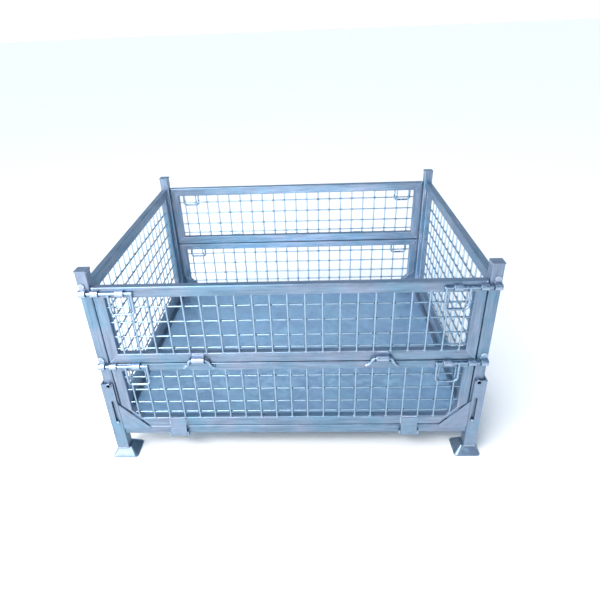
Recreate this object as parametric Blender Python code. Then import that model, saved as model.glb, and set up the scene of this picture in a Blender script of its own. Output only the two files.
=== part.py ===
"""Collapsible wire mesh container: galvanised steel stillage with drop-front gates.

Metres, +Z up. The origin is on the floor at the middle of the footprint, +X is the
long side, and the front gates face -Y. Front and back are the same assembly turned
half round; the left and right walls mirror each other.
"""
import math

import bmesh
import bpy
from mathutils import Matrix, Vector

# ---- driving dimensions --------------------------------------------------------
SPAN_X = 1.200           # over the outer faces of the corner posts
SPAN_Y = 1.000
HEIGHT = 0.695           # floor to the top of the post caps
GAP = 0.0003             # left between solids that touch
WELD_SINK = 0.001        # how far a welded piece reaches into what it is joined to

PITCH = 0.0508           # welded mesh, centre to centre
WIRE = 0.005             # mesh wire
TUBE_FACE = 0.035        # frame tube, seen from outside
TUBE_DEPTH = 0.025       # frame tube, through the wall
MESH_SETBACK = 0.0055    # outer face of a frame to the middle of its mesh

POST = 0.035             # corner post, square tube
POST_FOOT_LIFT = 0.001   # lower end of a post above the base
POST_ABOVE = 0.0505      # how far the posts stand above the walls and gates
CAP_LIP = 0.0008         # how far a post's cap stands past the tube
CAP_THICK = 0.004

LEG_FLANGE = 0.0385      # corner leg: angle above the base, closed box below it
LEG_PLATE = 0.005
LEG_CLEARANCE = 0.0033   # post face to the inside of a leg
LEG_RISE = 0.180         # how far a leg stands above the base
SLOT_WIDTH = 0.012       # the slot that a wall's pins run in
SLOT_LIFT = 0.017        # lower end of the slot above the base
SLOT_LENGTH = 0.096
PIN_RADIUS = 0.005
PIN_PROUD = 0.004        # pin end past the outside of the leg
NOTCH_DEPTH = 0.011      # open seat in a leg's top edge for the lock pin
NOTCH_WIDTH = 0.0145
LOCK_PIN_RADIUS = 0.0062

FOOT_BOTTOM = 0.086
FOOT_TOP = 0.041
FOOT_HEIGHT = 0.030
FOOT_WALL = 0.004
FOOT_CORNER = 0.012

BASE_BOTTOM_Z = 0.090
BASE_DEPTH = 0.033
BASE_RAIL = 0.040        # width of the base rails in plan
CROSS_RAIL = 0.050
CROSS_RAILS = 2
DECK_THICK = 0.002
DECK_GAP = 0.004         # deck edge to the walls and gates round it

GATE_GAP = 0.0015        # gate to post
GATE_PROUD = 0.003       # gate and base rail faces past the post faces
GATE_LIFT = 0.0015       # lower gate above the base
GATE_SPLIT = 0.4875      # lower gate's share of the front's height
GATE_SEAM = 0.002        # between the two gates
LOWER_GATE_TOP_RAIL = 0.028
LOWER_FIRST_ROW = 0.0548  # top wire below the gate's top edge
LOWER_LAST_ROW = 0.056   # bottom wire above the gate's bottom edge
UPPER_FIRST_ROW = 0.069
UPPER_LAST_ROW = 0.0514

GUSSET_WIDTH = 0.091     # corner plate, along the base rail
GUSSET_RISE = 0.098      # and up the leg
GUSSET_LAP = 0.005       # how far it laps down over the base rail
GUSSET_CLEARANCE = 0.0025
CHAMFER_BAR = 0.008      # gate strip that runs along the gusset

SIDE_FIRST_ROW = 0.0482  # top wire below the wall's top edge
SIDE_LIFT = 0.009        # wall frame above the base
SIDE_FRAME_GAP = 0.0003

STRAP_INSET = 0.1825     # lower hinge straps, from the gate's edge
STRAP_WIDTH = 0.052
STRAP_PLATE = 0.005
STRAP_LAP = 0.0325       # how far a strap runs up the gate
KNUCKLE_LIFT = 0.0085    # lower hinge axis above the underside of the base
KNUCKLE_OUTER = 0.0078
HINGE_PIN_RADIUS = 0.004
HINGE_CLEARANCE = 0.0006
LUG_THICK = 0.005

MID_HINGE_INSET = 0.2825  # upper gate hinges, from the gate's edge
MID_HINGE_LIFT = 0.016   # their axis above the upper gate's bottom edge
MID_HINGE_PROUD = 0.011  # axis past the gate face
MID_ROD_RADIUS = 0.005
MID_PLATE = 0.004
MID_BRACKET_WIDTH = 0.038
MID_BRACKET_LAP = 0.0335  # how far a bracket runs up the upper gate
MID_ARM_REACH = 0.049    # rod end, from the middle of its hinge
MID_ARM_DROP = 0.013     # rod end below the lower gate's top edge

BOLT_RADIUS = 0.005
HANDLE_RADIUS = 0.004
BOLT_CLEARANCE = 0.001   # rod to the inside of its guides
GUIDE_PLATE = 0.004
UPPER_BOLT_DROP = 0.017  # bolt below the top edge of its gate
LOWER_BOLT_DROP = 0.0055
INNER_GUIDE = (-0.099, -0.0745)  # spans along a bolt, from the post's inner face
OUTER_GUIDE = (-0.025, -0.003)
KEEPER = (0.0118, 0.0335)
BOLT_TIP = 0.0105        # clear of the keeper when drawn
HANDLE = (-0.118, -0.051)
HANDLE_DROP = 0.068
HANDLE_BEND = 0.012

# ---- places worked out from them ------------------------------------------------
HALF_X = SPAN_X / 2
HALF_Y = SPAN_Y / 2
POST_EDGE = HALF_X - POST
BASE_TOP_Z = BASE_BOTTOM_Z + BASE_DEPTH
POST_FOOT_Z = BASE_TOP_Z + POST_FOOT_LIFT
LEG_TOP_Z = BASE_TOP_Z + LEG_RISE
SLOT_BOTTOM_Z = BASE_TOP_Z + SLOT_LIFT
SLOT_TOP_Z = SLOT_BOTTOM_Z + SLOT_LENGTH
SIDE_BOTTOM_Z = BASE_TOP_Z + SIDE_LIFT
SIDE_TOP_Z = UPPER_GATE_TOP_Z = HEIGHT - POST_ABOVE
LOWER_GATE_BOTTOM_Z = BASE_TOP_Z + GATE_LIFT
LOWER_GATE_TOP_Z = LOWER_GATE_BOTTOM_Z + GATE_SPLIT * (UPPER_GATE_TOP_Z - LOWER_GATE_BOTTOM_Z)
UPPER_GATE_BOTTOM_Z = LOWER_GATE_TOP_Z + GATE_SEAM
GATE_FACE = HALF_Y + GATE_PROUD
GATE_BACK = GATE_FACE - TUBE_DEPTH
GATE_HALF = POST_EDGE - GATE_GAP
LEG_INSIDE = LEG_CLEARANCE
LEG_OUTSIDE = LEG_CLEARANCE + LEG_PLATE
PIN_Z = SLOT_BOTTOM_Z + PIN_RADIUS + GAP
LOCK_PIN_Z = LEG_TOP_Z - NOTCH_DEPTH + LOCK_PIN_RADIUS + GAP
GUSSET_LOW_Z = BASE_TOP_Z - GUSSET_LAP
GUSSET_START_X = HALF_X + LEG_OUTSIDE - LEG_FLANGE - GAP
STRAP_X = GATE_HALF - STRAP_INSET
STRAP_TOP_Z = LOWER_GATE_BOTTOM_Z + STRAP_LAP
KNUCKLE_Z = BASE_BOTTOM_Z + KNUCKLE_LIFT
KNUCKLE_Y = -(GATE_FACE + GAP + KNUCKLE_OUTER)
MID_HINGE_X = GATE_HALF - MID_HINGE_INSET
MID_HINGE_Z = UPPER_GATE_BOTTOM_Z + MID_HINGE_LIFT
MID_BRACKET_TOP_Z = UPPER_GATE_BOTTOM_Z + MID_BRACKET_LAP
MID_ARM_Z = LOWER_GATE_TOP_Z - MID_ARM_DROP
MID_HINGE_Y = -(GATE_FACE + MID_HINGE_PROUD)
UPPER_BOLT_Z = UPPER_GATE_TOP_Z - UPPER_BOLT_DROP
LOWER_BOLT_Z = LOWER_GATE_TOP_Z - LOWER_BOLT_DROP
INNER_GUIDE_X, OUTER_GUIDE_X, KEEPER_X, HANDLE_X = (
    (POST_EDGE + near, POST_EDGE + far) for near, far in (INNER_GUIDE, OUTER_GUIDE, KEEPER, HANDLE))
BOLT_TIP_X = POST_EDGE + BOLT_TIP
BOLT_Y = -(GATE_FACE + BOLT_CLEARANCE + BOLT_RADIUS)
GUIDE_FRONT = GATE_FACE + 2 * (BOLT_RADIUS + BOLT_CLEARANCE) + GUIDE_PLATE

ZINC = (0.56, 0.63, 0.74)
ZINC_WIRE = (0.62, 0.69, 0.78)
ZINC_SHEET = (0.45, 0.56, 0.69)
ZINC_ROD = (0.68, 0.72, 0.78)


# ---- scene helpers ----------------------------------------------------------------
def clear_scene():
    for item in list(bpy.data.objects):
        bpy.data.objects.remove(item, do_unlink=True)


def make_collection(name):
    group = bpy.data.collections.new(name)
    bpy.context.scene.collection.children.link(group)
    return group


def make_material(name, colour, roughness, metallic):
    material = bpy.data.materials.new(name)
    material.use_nodes = True
    shader = material.node_tree.nodes["Principled BSDF"]
    shader.inputs["Base Color"].default_value = (*colour, 1.0)
    shader.inputs["Roughness"].default_value = roughness
    shader.inputs["Metallic"].default_value = metallic
    return material


clear_scene()
PARTS = make_collection("wire_mesh_container")
MATERIALS = {
    "frame": make_material("galvanised_tube", ZINC, 0.42, 0.85),
    "wire": make_material("galvanised_wire", ZINC_WIRE, 0.38, 0.85),
    "sheet": make_material("galvanised_sheet", ZINC_SHEET, 0.45, 0.80),
    "plate": make_material("galvanised_plate", ZINC, 0.46, 0.80),
    "rod": make_material("galvanised_rod", ZINC_ROD, 0.32, 0.90),
}


def put(obj, material):
    """Keep an object as a node of the container."""
    for group in list(obj.users_collection):
        group.objects.unlink(obj)
    PARTS.objects.link(obj)
    obj.data.materials.clear()
    obj.data.materials.append(MATERIALS[material])
    return obj


def empty_at(name, place, parent=None):
    """An empty on a joint's axis, for the pieces that move with it."""
    marker = bpy.data.objects.new(name, None)
    marker.location = place
    PARTS.objects.link(marker)
    if parent is not None:
        hang(marker, parent)
    bpy.context.view_layer.update()
    return marker


def hang(obj, parent):
    """Parent obj without moving it."""
    bpy.context.view_layer.update()
    obj.parent = parent
    obj.matrix_parent_inverse = parent.matrix_world.inverted()


def block(name, x, y, z):
    """A box from its spans along the three axes, given in any order."""
    low = Vector((min(x), min(y), min(z)))
    high = Vector((max(x), max(y), max(z)))
    bpy.ops.mesh.primitive_cube_add(size=1.0, location=(low + high) / 2)
    obj = bpy.context.object
    obj.name = name
    obj.data.transform(Matrix.Diagonal((*(high - low), 1.0)))
    return obj


def round_bar(name, radius, start, end, sides=12):
    """A cylinder between two points."""
    start = Vector(start)
    run = Vector(end) - start
    bpy.ops.mesh.primitive_cylinder_add(
        vertices=sides, radius=radius, depth=run.length, location=start + run / 2)
    obj = bpy.context.object
    obj.name = name
    obj.data.transform(run.to_track_quat("Z", "Y").to_matrix().to_4x4())
    return obj


def meshed(curve_object):
    """Turn a curve object into a mesh object with welded caps, where it stands."""
    bpy.context.view_layer.update()
    graph = bpy.context.evaluated_depsgraph_get()
    mesh = bpy.data.meshes.new_from_object(curve_object.evaluated_get(graph))
    work = bmesh.new()
    work.from_mesh(mesh)
    bmesh.ops.remove_doubles(work, verts=work.verts, dist=0.00002)
    work.to_mesh(mesh)
    work.free()
    name = curve_object.name
    place = curve_object.matrix_world.copy()
    bpy.data.objects.remove(curve_object, do_unlink=True)
    obj = bpy.data.objects.new(name, mesh)
    obj.matrix_world = place
    bpy.context.scene.collection.objects.link(obj)
    bpy.context.view_layer.update()
    return obj


def flat_outline(name, loops, thickness, stand=None):
    """Closed 2D loops filled and extruded: the first is the outside, the rest holes.

    stand is the matrix that takes the drawing plane to its place in the object.
    """
    curve = bpy.data.curves.new(name, "CURVE")
    curve.dimensions = "2D"
    curve.fill_mode = "BOTH"
    curve.extrude = thickness / 2
    for loop in loops:
        spline = curve.splines.new("POLY")
        spline.points.add(len(loop) - 1)
        spline.use_cyclic_u = True
        for point, (u, v) in zip(spline.points, loop):
            point.co = (u, v, 0.0, 1.0)
    obj = bpy.data.objects.new(name, curve)
    bpy.context.scene.collection.objects.link(obj)
    if stand is not None:
        obj.matrix_world = stand
    return meshed(obj)


def bent_bar(name, points, radius):
    """A round bar along a list of points."""
    curve = bpy.data.curves.new(name, "CURVE")
    curve.dimensions = "3D"
    curve.bevel_depth = radius
    curve.bevel_resolution = 2
    curve.use_fill_caps = True
    spline = curve.splines.new("POLY")
    spline.points.add(len(points) - 1)
    for point, place in zip(spline.points, points):
        point.co = (*place, 1.0)
    obj = bpy.data.objects.new(name, curve)
    bpy.context.scene.collection.objects.link(obj)
    return meshed(obj)


def combine(target, tool, operation):
    """Apply an exact Boolean and remove the tool."""
    change = target.modifiers.new(operation.lower(), "BOOLEAN")
    change.operation = operation
    change.object = tool
    bpy.context.view_layer.update()
    graph = bpy.context.evaluated_depsgraph_get()
    mesh = bpy.data.meshes.new_from_object(target.evaluated_get(graph))
    target.modifiers.clear()
    target.data = mesh
    bpy.data.objects.remove(tool, do_unlink=True)
    return target


def weld_on(target, *tools):
    for tool in tools:
        combine(target, tool, "UNION")
    return target


def cut_out(target, *tools):
    for tool in tools:
        combine(target, tool, "DIFFERENCE")
    return target


def arc(centre, radius, start, end, steps):
    """Points on an arc, angles in degrees."""
    turns = [math.radians(start + (end - start) * i / steps) for i in range(steps + 1)]
    return [(centre[0] + radius * math.cos(t), centre[1] + radius * math.sin(t)) for t in turns]


def stadium(centre_x, width, low, high, steps=6):
    """A slot's outline with round ends, standing along the second axis."""
    half = width / 2
    return (arc((centre_x, high - half), half, 0, 180, steps)
            + arc((centre_x, low + half), half, 180, 360, steps))


def facing_front(y):
    """Stand a drawing up, so that it faces -Y with its middle at y."""
    return Matrix.Translation((0.0, y, 0.0)) @ Matrix.Rotation(math.pi / 2, 4, "X")


def facing_side(x):
    """Stand a drawing up along Y with its middle at x."""
    return Matrix.Translation((x, 0.0, 0.0)) @ Matrix(
        ((0, 0, 1, 0), (1, 0, 0, 0), (0, 1, 0, 0), (0, 0, 0, 1)))


def side_name(sign):
    return "left" if sign < 0 else "right"


def end_name(sign):
    return "front" if sign < 0 else "back"


# ---- welded mesh ---------------------------------------------------------------------
def grid_loops(columns, rows, half_width, low, high, corner=0.0, slope=1.0):
    """Outline and holes of a flat mesh whose wire ends reach the frame round it.

    corner is how far the frame's two lower corners are cut off along the bottom.
    """
    half = WIRE / 2

    def low_end(u):
        return low + max(0.0, corner - (half_width - abs(u) - half)) * slope

    def side_end(v):
        return half_width - max(0.0, corner - (v - half - low) / slope)

    outline = []
    for u in columns:
        outline += [(u - half, rows[0] - half), (u - half, low_end(u)),
                    (u + half, low_end(u)), (u + half, rows[0] - half)]
    for v in rows:
        outline += [(columns[-1] + half, v - half), (side_end(v), v - half),
                    (side_end(v), v + half), (columns[-1] + half, v + half)]
    for u in reversed(columns):
        outline += [(u + half, rows[-1] + half), (u + half, high), (u - half, high), (u - half, rows[-1] + half)]
    for v in reversed(rows):
        outline += [(columns[0] - half, v + half), (-side_end(v), v + half),
                    (-side_end(v), v - half), (columns[0] - half, v - half)]
    clean = [p for i, p in enumerate(outline) if p != outline[i - 1]]
    holes = []
    for u0, u1 in zip(columns, columns[1:]):
        for v0, v1 in zip(rows, rows[1:]):
            holes.append([(u0 + half, v0 + half), (u1 - half, v0 + half),
                          (u1 - half, v1 - half), (u0 + half, v1 - half)])
    return [clean] + holes


def columns_across(half_width, offset):
    """Upright wires on either side of the middle; offset is 0.5 for none on it."""
    count = int((half_width - WIRE) / PITCH - offset)
    right = [(i + offset) * PITCH for i in range(count + 1)]
    return sorted({-x for x in right} | set(right))


def rows_between(top, bottom):
    """Rows a pitch apart from the top one, and the bottom one wherever it falls."""
    return [bottom] + sorted(top - PITCH * i for i in range(round((top - bottom) / PITCH)))


# ---- base --------------------------------------------------------------------------------
def rectangle(x0, x1, y0, y1):
    return [(x0, y0), (x1, y0), (x1, y1), (x0, y1)]


def build_base():
    """Rail frame with cross rails, and the sheet deck that lies on it."""
    half_x = HALF_X + LEG_INSIDE - GAP
    half_y = GATE_FACE
    inner_x = half_x - BASE_RAIL
    inner_y = half_y - BASE_RAIL
    bay = (2 * inner_x - CROSS_RAILS * CROSS_RAIL) / (CROSS_RAILS + 1)
    loops = [rectangle(-half_x, half_x, -half_y, half_y)]
    for i in range(CROSS_RAILS + 1):
        start = -inner_x + i * (bay + CROSS_RAIL)
        loops.append(rectangle(start, start + bay, -inner_y, inner_y))
    middle = Matrix.Translation((0.0, 0.0, (BASE_BOTTOM_Z + BASE_TOP_Z) / 2))
    put(flat_outline("base_frame", loops, BASE_TOP_Z - BASE_BOTTOM_Z, middle), "frame")

    deck_x = HALF_X - POST - DECK_GAP
    deck_y = GATE_BACK - DECK_GAP
    low = BASE_TOP_Z + GAP
    put(block("deck_sheet", (-deck_x, deck_x), (-deck_y, deck_y), (low, low + DECK_THICK)), "sheet")


def build_leg(sx, sy):
    """Corner leg: an angle round the post, boxed in below the base."""
    name = f"leg_{end_name(sy)}_{side_name(sx)}"
    low = FOOT_HEIGHT + GAP
    out_x, in_x = HALF_X + LEG_OUTSIDE, HALF_X + LEG_OUTSIDE - LEG_FLANGE
    out_y, in_y = HALF_Y + LEG_OUTSIDE, HALF_Y + LEG_OUTSIDE - LEG_FLANGE
    plate = LEG_PLATE
    angle = [(out_x, out_y), (in_x, out_y), (in_x, out_y - plate), (out_x - plate, out_y - plate),
             (out_x - plate, in_y), (out_x, in_y)]
    stand = Matrix.Translation((0.0, 0.0, (low + LEG_TOP_Z) / 2))
    leg = flat_outline(name, [[(sx * x, sy * y) for x, y in angle]], LEG_TOP_Z - low, stand)
    close_x, close_y = in_x + GAP, in_y + GAP
    sink_x, sink_y = out_x - plate + WELD_SINK, out_y - plate + WELD_SINK
    closing = [(close_x, sink_y), (close_x, close_y), (sink_x, close_y), (sink_x, close_y + plate),
               (close_x + plate, close_y + plate), (close_x + plate, sink_y)]
    box_low, box_high = low + GAP, BASE_BOTTOM_Z - GAP
    stand = Matrix.Translation((0.0, 0.0, (box_low + box_high) / 2))
    weld_on(leg, flat_outline("closing", [[(sx * x, sy * y) for x, y in closing]], box_high - box_low, stand))
    slot = stadium(sx * (HALF_X - POST / 2), SLOT_WIDTH, SLOT_BOTTOM_Z, SLOT_TOP_Z)
    cut_out(leg, flat_outline("slot", [slot], 4 * plate, facing_front(sy * out_y)))
    notch_x = sx * (HALF_X - POST / 2)
    cut_out(leg, block("notch", (notch_x - NOTCH_WIDTH / 2, notch_x + NOTCH_WIDTH / 2),
                       (sy * (out_y - 2 * plate), sy * (out_y + plate)),
                       (LEG_TOP_Z - NOTCH_DEPTH, LEG_TOP_Z + NOTCH_DEPTH)))
    put(leg, "plate")


def rounded_square(side, corner, steps=3):
    half = side / 2 - corner
    loop = []
    for index, (x, y) in enumerate(((half, half), (-half, half), (-half, -half), (half, -half))):
        loop += arc((x, y), corner, 90 * index, 90 * (index + 1), steps)
    return loop


def build_foot(sx, sy):
    """Pressed stacking foot: a flared pyramid, open underneath."""
    outside = [(rounded_square(FOOT_BOTTOM, FOOT_CORNER), 0.0),
               (rounded_square(FOOT_TOP, FOOT_CORNER / 3), FOOT_HEIGHT)]
    inside = [(rounded_square(FOOT_TOP - 2 * FOOT_WALL, FOOT_CORNER / 4), FOOT_HEIGHT - FOOT_WALL),
              (rounded_square(FOOT_BOTTOM - 2 * FOOT_WALL, FOOT_CORNER - FOOT_WALL / 2), 0.0)]
    shape = bmesh.new()
    rings = []
    for loop, z in outside + inside:
        rings.append([shape.verts.new((x, y, z)) for x, y in loop])
    count = len(rings[0])
    for lower, upper in ((0, 1), (2, 3), (3, 0)):
        for i in range(count):
            j = (i + 1) % count
            shape.faces.new((rings[lower][i], rings[lower][j], rings[upper][j], rings[upper][i]))
    shape.faces.new(rings[1])
    shape.faces.new(list(reversed(rings[2])))
    bmesh.ops.recalc_face_normals(shape, faces=shape.faces)
    mesh = bpy.data.meshes.new("foot")
    shape.to_mesh(mesh)
    shape.free()
    foot = bpy.data.objects.new(f"foot_{end_name(sy)}_{side_name(sx)}", mesh)
    foot.location = (sx * (HALF_X - POST / 2), sy * (HALF_Y - POST / 2), 0.0)
    put(foot, "plate")


def build_gusset(sx, sy):
    """Three-cornered plate that ties a leg to the base rail."""
    start = GUSSET_START_X
    outline = [(start, GUSSET_LOW_Z), (start - GUSSET_WIDTH, GUSSET_LOW_Z),
               (start - GUSSET_WIDTH, BASE_TOP_Z), (start, BASE_TOP_Z + GUSSET_RISE)]
    y = sy * (GATE_FACE + GAP + LEG_PLATE / 2)
    gusset = flat_outline(f"gusset_{end_name(sy)}_{side_name(sx)}",
                          [[(sx * x, z) for x, z in outline]], LEG_PLATE, facing_front(y))
    put(gusset, "plate")


def folded_plate(z, low_back, top_back):
    """Profile of a U plate round a bolt at height z, opening backwards, front at -Y."""
    half = BOLT_RADIUS + BOLT_CLEARANCE
    face, inside = -GUIDE_FRONT, -(GUIDE_FRONT - GUIDE_PLATE)
    low, high = z - half - GUIDE_PLATE, z + half + GUIDE_PLATE
    return [(-low_back, low), (face, low), (face, high), (-top_back, high),
            (-top_back, z + half), (inside, z + half), (inside, z - half), (-low_back, z - half)]


# ---- side walls ----------------------------------------------------------------------------
def build_post(name, sx, sy):
    """Capped square post with the lock pin that seats in the leg's notch.

    It is solid, as the other tubes are: round a hollow one the collision pieces fill
    the space in front of its face, and the bolts and the gate then can't pass.
    """
    x_out, x_in = sx * HALF_X, sx * (HALF_X - POST)
    y_out, y_in = sy * HALF_Y, sy * (HALF_Y - POST)
    cap_low = HEIGHT - CAP_THICK
    post = block(name, (x_out, x_in), (y_out, y_in), (POST_FOOT_Z, cap_low))
    cap = block("cap", (x_out + sx * CAP_LIP, x_in - sx * CAP_LIP), (y_out + sy * CAP_LIP, y_in - sy * CAP_LIP),
                (cap_low - WELD_SINK, HEIGHT))
    middle = sx * (HALF_X - POST / 2)
    tip = sy * (HALF_Y + LEG_OUTSIDE + PIN_PROUD)
    pin = round_bar("pin", LOCK_PIN_RADIUS, (middle, sy * (HALF_Y - WELD_SINK), LOCK_PIN_Z), (middle, tip, LOCK_PIN_Z))
    return put(weld_on(post, cap, pin), "frame")


def build_keeper(name, sx, sy, z):
    """Folded plate on a post's face that takes a bolt's tip."""
    back = HALF_Y + GAP
    profile = folded_plate(z, back, back)
    keeper = flat_outline(name, [[(-sy * y, v) for y, v in profile]], KEEPER_X[1] - KEEPER_X[0],
                          facing_side(sx * sum(KEEPER_X) / 2))
    return put(keeper, "plate")


def build_wall(sx):
    """One lifting side: two posts, frame, mesh, keepers and the pins in the slots."""
    side = side_name(sx)
    lift = empty_at(f"{side}_wall_lift", (sx * (HALF_X - POST / 2), 0.0, PIN_Z))
    pieces = []
    outer, inner = sx * HALF_X, sx * (HALF_X - TUBE_DEPTH)
    reach = HALF_Y - POST - SIDE_FRAME_GAP
    window = reach - TUBE_FACE
    low, high = SIDE_BOTTOM_Z + TUBE_FACE, SIDE_TOP_Z - TUBE_FACE
    frame = flat_outline(f"{side}_wall_frame",
                         [rectangle(-reach, reach, SIDE_BOTTOM_Z, SIDE_TOP_Z),
                          rectangle(-window, window, low, high)],
                         TUBE_DEPTH, facing_side((outer + inner) / 2))
    pieces.append(put(frame, "frame"))

    top_row = SIDE_TOP_Z - SIDE_FIRST_ROW
    rows = [top_row - PITCH * i for i in reversed(range(int((top_row - low - WIRE) / PITCH) + 1))]
    loops = grid_loops(columns_across(window, 0.5), rows, window - GAP, low + GAP, high - GAP)
    mesh = flat_outline(f"{side}_wall_mesh", loops, WIRE, facing_side(sx * (HALF_X - MESH_SETBACK)))
    pieces.append(put(mesh, "wire"))

    for sy in (-1, 1):
        end = end_name(sy)
        pieces.append(build_post(f"post_{end}_{side}", sx, sy))
        middle = sx * (HALF_X - POST / 2)
        pin = round_bar(f"slot_pin_{end}_{side}", PIN_RADIUS, (middle, sy * (HALF_Y + GAP), PIN_Z),
                        (middle, sy * (HALF_Y + LEG_OUTSIDE + PIN_PROUD), PIN_Z))
        pieces.append(put(pin, "rod"))
        for level, z in (("upper", UPPER_BOLT_Z), ("lower", LOWER_BOLT_Z)):
            pieces.append(build_keeper(f"keeper_{level}_{end}_{side}", sx, sy, z))
    for piece in pieces:
        hang(piece, lift)


# ---- gates, built at the front -----------------------------------------------------------------
def add_guides(frame, z, top_back):
    """Guides for both bolts; top_back is how far back their upper legs reach."""
    for sx in (-1, 1):
        for span in (INNER_GUIDE_X, OUTER_GUIDE_X):
            profile = folded_plate(z, GATE_FACE - WELD_SINK, top_back)
            weld_on(frame, flat_outline("guide", [profile], span[1] - span[0], facing_side(sx * sum(span) / 2)))


def chamfered(half, low, high, corner_x, corner_z):
    """A gate outline whose lower corners are cut to clear the gussets."""
    return [(-half, high), (-half, low + corner_z), (-half + corner_x, low),
            (half - corner_x, low), (half, low + corner_z), (half, high)]


def build_lower_gate(end):
    """Frame with chamfered corners, hinge straps and bolt guides."""
    slope = GUSSET_RISE / GUSSET_WIDTH
    along = math.hypot(slope, 1.0)
    edge_x = GUSSET_START_X - GATE_HALF
    corner_x = GUSSET_WIDTH - edge_x + GUSSET_CLEARANCE * along / slope
    corner_x -= (LOWER_GATE_BOTTOM_Z - BASE_TOP_Z) / slope
    low, high = LOWER_GATE_BOTTOM_Z, LOWER_GATE_TOP_Z
    window_half = GATE_HALF - TUBE_FACE
    window_low, window_high = low + TUBE_FACE, high - LOWER_GATE_TOP_RAIL
    inner_x = corner_x + CHAMFER_BAR * along / slope - TUBE_FACE - TUBE_FACE / slope
    outer = chamfered(GATE_HALF, low, high, corner_x, corner_x * slope)
    inner = chamfered(window_half, window_low, window_high, inner_x, inner_x * slope)
    middle = -(GATE_FACE - TUBE_DEPTH / 2)
    frame = flat_outline(f"{end}_lower_gate_frame", [outer, inner], TUBE_DEPTH, facing_front(middle))
    for sx in (-1, 1):
        weld_on(frame, strap(sx * STRAP_X))
    add_guides(frame, LOWER_BOLT_Z, GATE_FACE + GAP)
    put(frame, "frame")

    rows = rows_between(high - LOWER_FIRST_ROW, low + LOWER_LAST_ROW)
    loops = grid_loops(columns_across(window_half, 0.0), rows, window_half - GAP, window_low + GAP,
                       window_high - GAP, inner_x + GAP, slope)
    mesh = flat_outline(f"{end}_lower_gate_mesh", loops, WIRE, facing_front(-(GATE_FACE - MESH_SETBACK)))
    put(mesh, "wire")
    return frame, mesh


def circle(centre, radius, steps=16):
    return arc(centre, radius, 0, 360, steps)[:-1]


def strap(x):
    """Hinge strap that hangs over the base rail and ends in a knuckle."""
    centre = (KNUCKLE_Y, KNUCKLE_Z)
    back = -(GATE_FACE + GAP)
    front = back - STRAP_PLATE
    sunk = -(GATE_FACE - WELD_SINK)
    meet = math.degrees(math.acos((front - KNUCKLE_Y) / KNUCKLE_OUTER))
    seat = LOWER_GATE_BOTTOM_Z + WELD_SINK
    profile = [(sunk, seat), (sunk, STRAP_TOP_Z), (front, STRAP_TOP_Z)]
    profile += arc(centre, KNUCKLE_OUTER, meet, 360, 14) + [(back, seat)]
    bore = circle(centre, HINGE_PIN_RADIUS + HINGE_CLEARANCE)
    return flat_outline("strap", [profile, bore], STRAP_WIDTH, facing_side(x))


def build_hinge_pin(name, x):
    """Pin of a lower hinge with the two lugs that hold it to the base rail."""
    reach = STRAP_WIDTH / 2 + HINGE_CLEARANCE + LUG_THICK
    pin = round_bar(name, HINGE_PIN_RADIUS, (x - reach - 0.001, KNUCKLE_Y, KNUCKLE_Z),
                    (x + reach + 0.001, KNUCKLE_Y, KNUCKLE_Z))
    for sx in (-1, 1):
        inner = x + sx * (reach - LUG_THICK)
        lug = block("lug", (inner, inner + sx * LUG_THICK), (-GATE_FACE - GAP, KNUCKLE_Y - 0.006),
                    (KNUCKLE_Z - 0.007, KNUCKLE_Z + 0.011))
        weld_on(pin, lug)
    return put(pin, "rod")


def build_upper_gate(end):
    """Frame with hinge brackets under it and bolt guides at the top."""
    low, high = UPPER_GATE_BOTTOM_Z, UPPER_GATE_TOP_Z
    half, window_half = GATE_HALF, GATE_HALF - TUBE_FACE
    window_low, window_high = low + TUBE_FACE, high - TUBE_FACE
    middle = -(GATE_FACE - TUBE_DEPTH / 2)
    frame = flat_outline(f"{end}_upper_gate_frame",
                         [rectangle(-half, half, low, high),
                          rectangle(-window_half, window_half, window_low, window_high)],
                         TUBE_DEPTH, facing_front(middle))
    for sx in (-1, 1):
        weld_on(frame, mid_bracket(sx * MID_HINGE_X))
    add_guides(frame, UPPER_BOLT_Z, GATE_FACE - WELD_SINK)
    put(frame, "frame")
    rows = rows_between(high - UPPER_FIRST_ROW, low + UPPER_LAST_ROW)
    loops = grid_loops(columns_across(window_half, 0.0), rows, window_half - GAP, window_low + GAP,
                       window_high - GAP)
    mesh = flat_outline(f"{end}_upper_gate_mesh", loops, WIRE, facing_front(-(GATE_FACE - MESH_SETBACK)))
    put(mesh, "wire")
    return frame, mesh


def mid_bracket(x):
    """Plate on the upper gate's lower rail, rolled round the hinge rod."""
    centre = (MID_HINGE_Y, MID_HINGE_Z)
    bore = MID_ROD_RADIUS + HINGE_CLEARANCE
    outer = bore + MID_PLATE
    front = -(GATE_FACE + MID_PLATE)
    sunk = -(GATE_FACE - WELD_SINK)
    meet = math.degrees(math.acos((front - MID_HINGE_Y) / outer))
    profile = [(sunk, MID_BRACKET_TOP_Z), (front, MID_BRACKET_TOP_Z)]
    profile += arc(centre, outer, meet, 342, 14)
    profile += [(sunk, profile[-1][1])]
    return flat_outline("bracket", [profile, circle(centre, bore)], MID_BRACKET_WIDTH, facing_side(x))


def build_mid_rod(name, x):
    """Cranked hinge rod: straight through the bracket, its ends on the lower gate."""
    straight = MID_BRACKET_WIDTH / 2 + 0.003
    rest = -(GATE_FACE + MID_ROD_RADIUS + GAP)
    half = [(straight, MID_HINGE_Y, MID_HINGE_Z),
            (straight + 0.0045, MID_HINGE_Y + 0.0008, MID_HINGE_Z - 0.003),
            (straight + 0.009, MID_HINGE_Y + 0.0025, MID_HINGE_Z - 0.010),
            (straight + 0.015, rest, MID_ARM_Z + 0.008),
            (MID_ARM_REACH, rest, MID_ARM_Z)]
    points = [(x - dx, y, z) for dx, y, z in reversed(half)] + [(x + dx, y, z) for dx, y, z in half]
    return put(bent_bar(name, points, MID_ROD_RADIUS), "rod")


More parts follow.
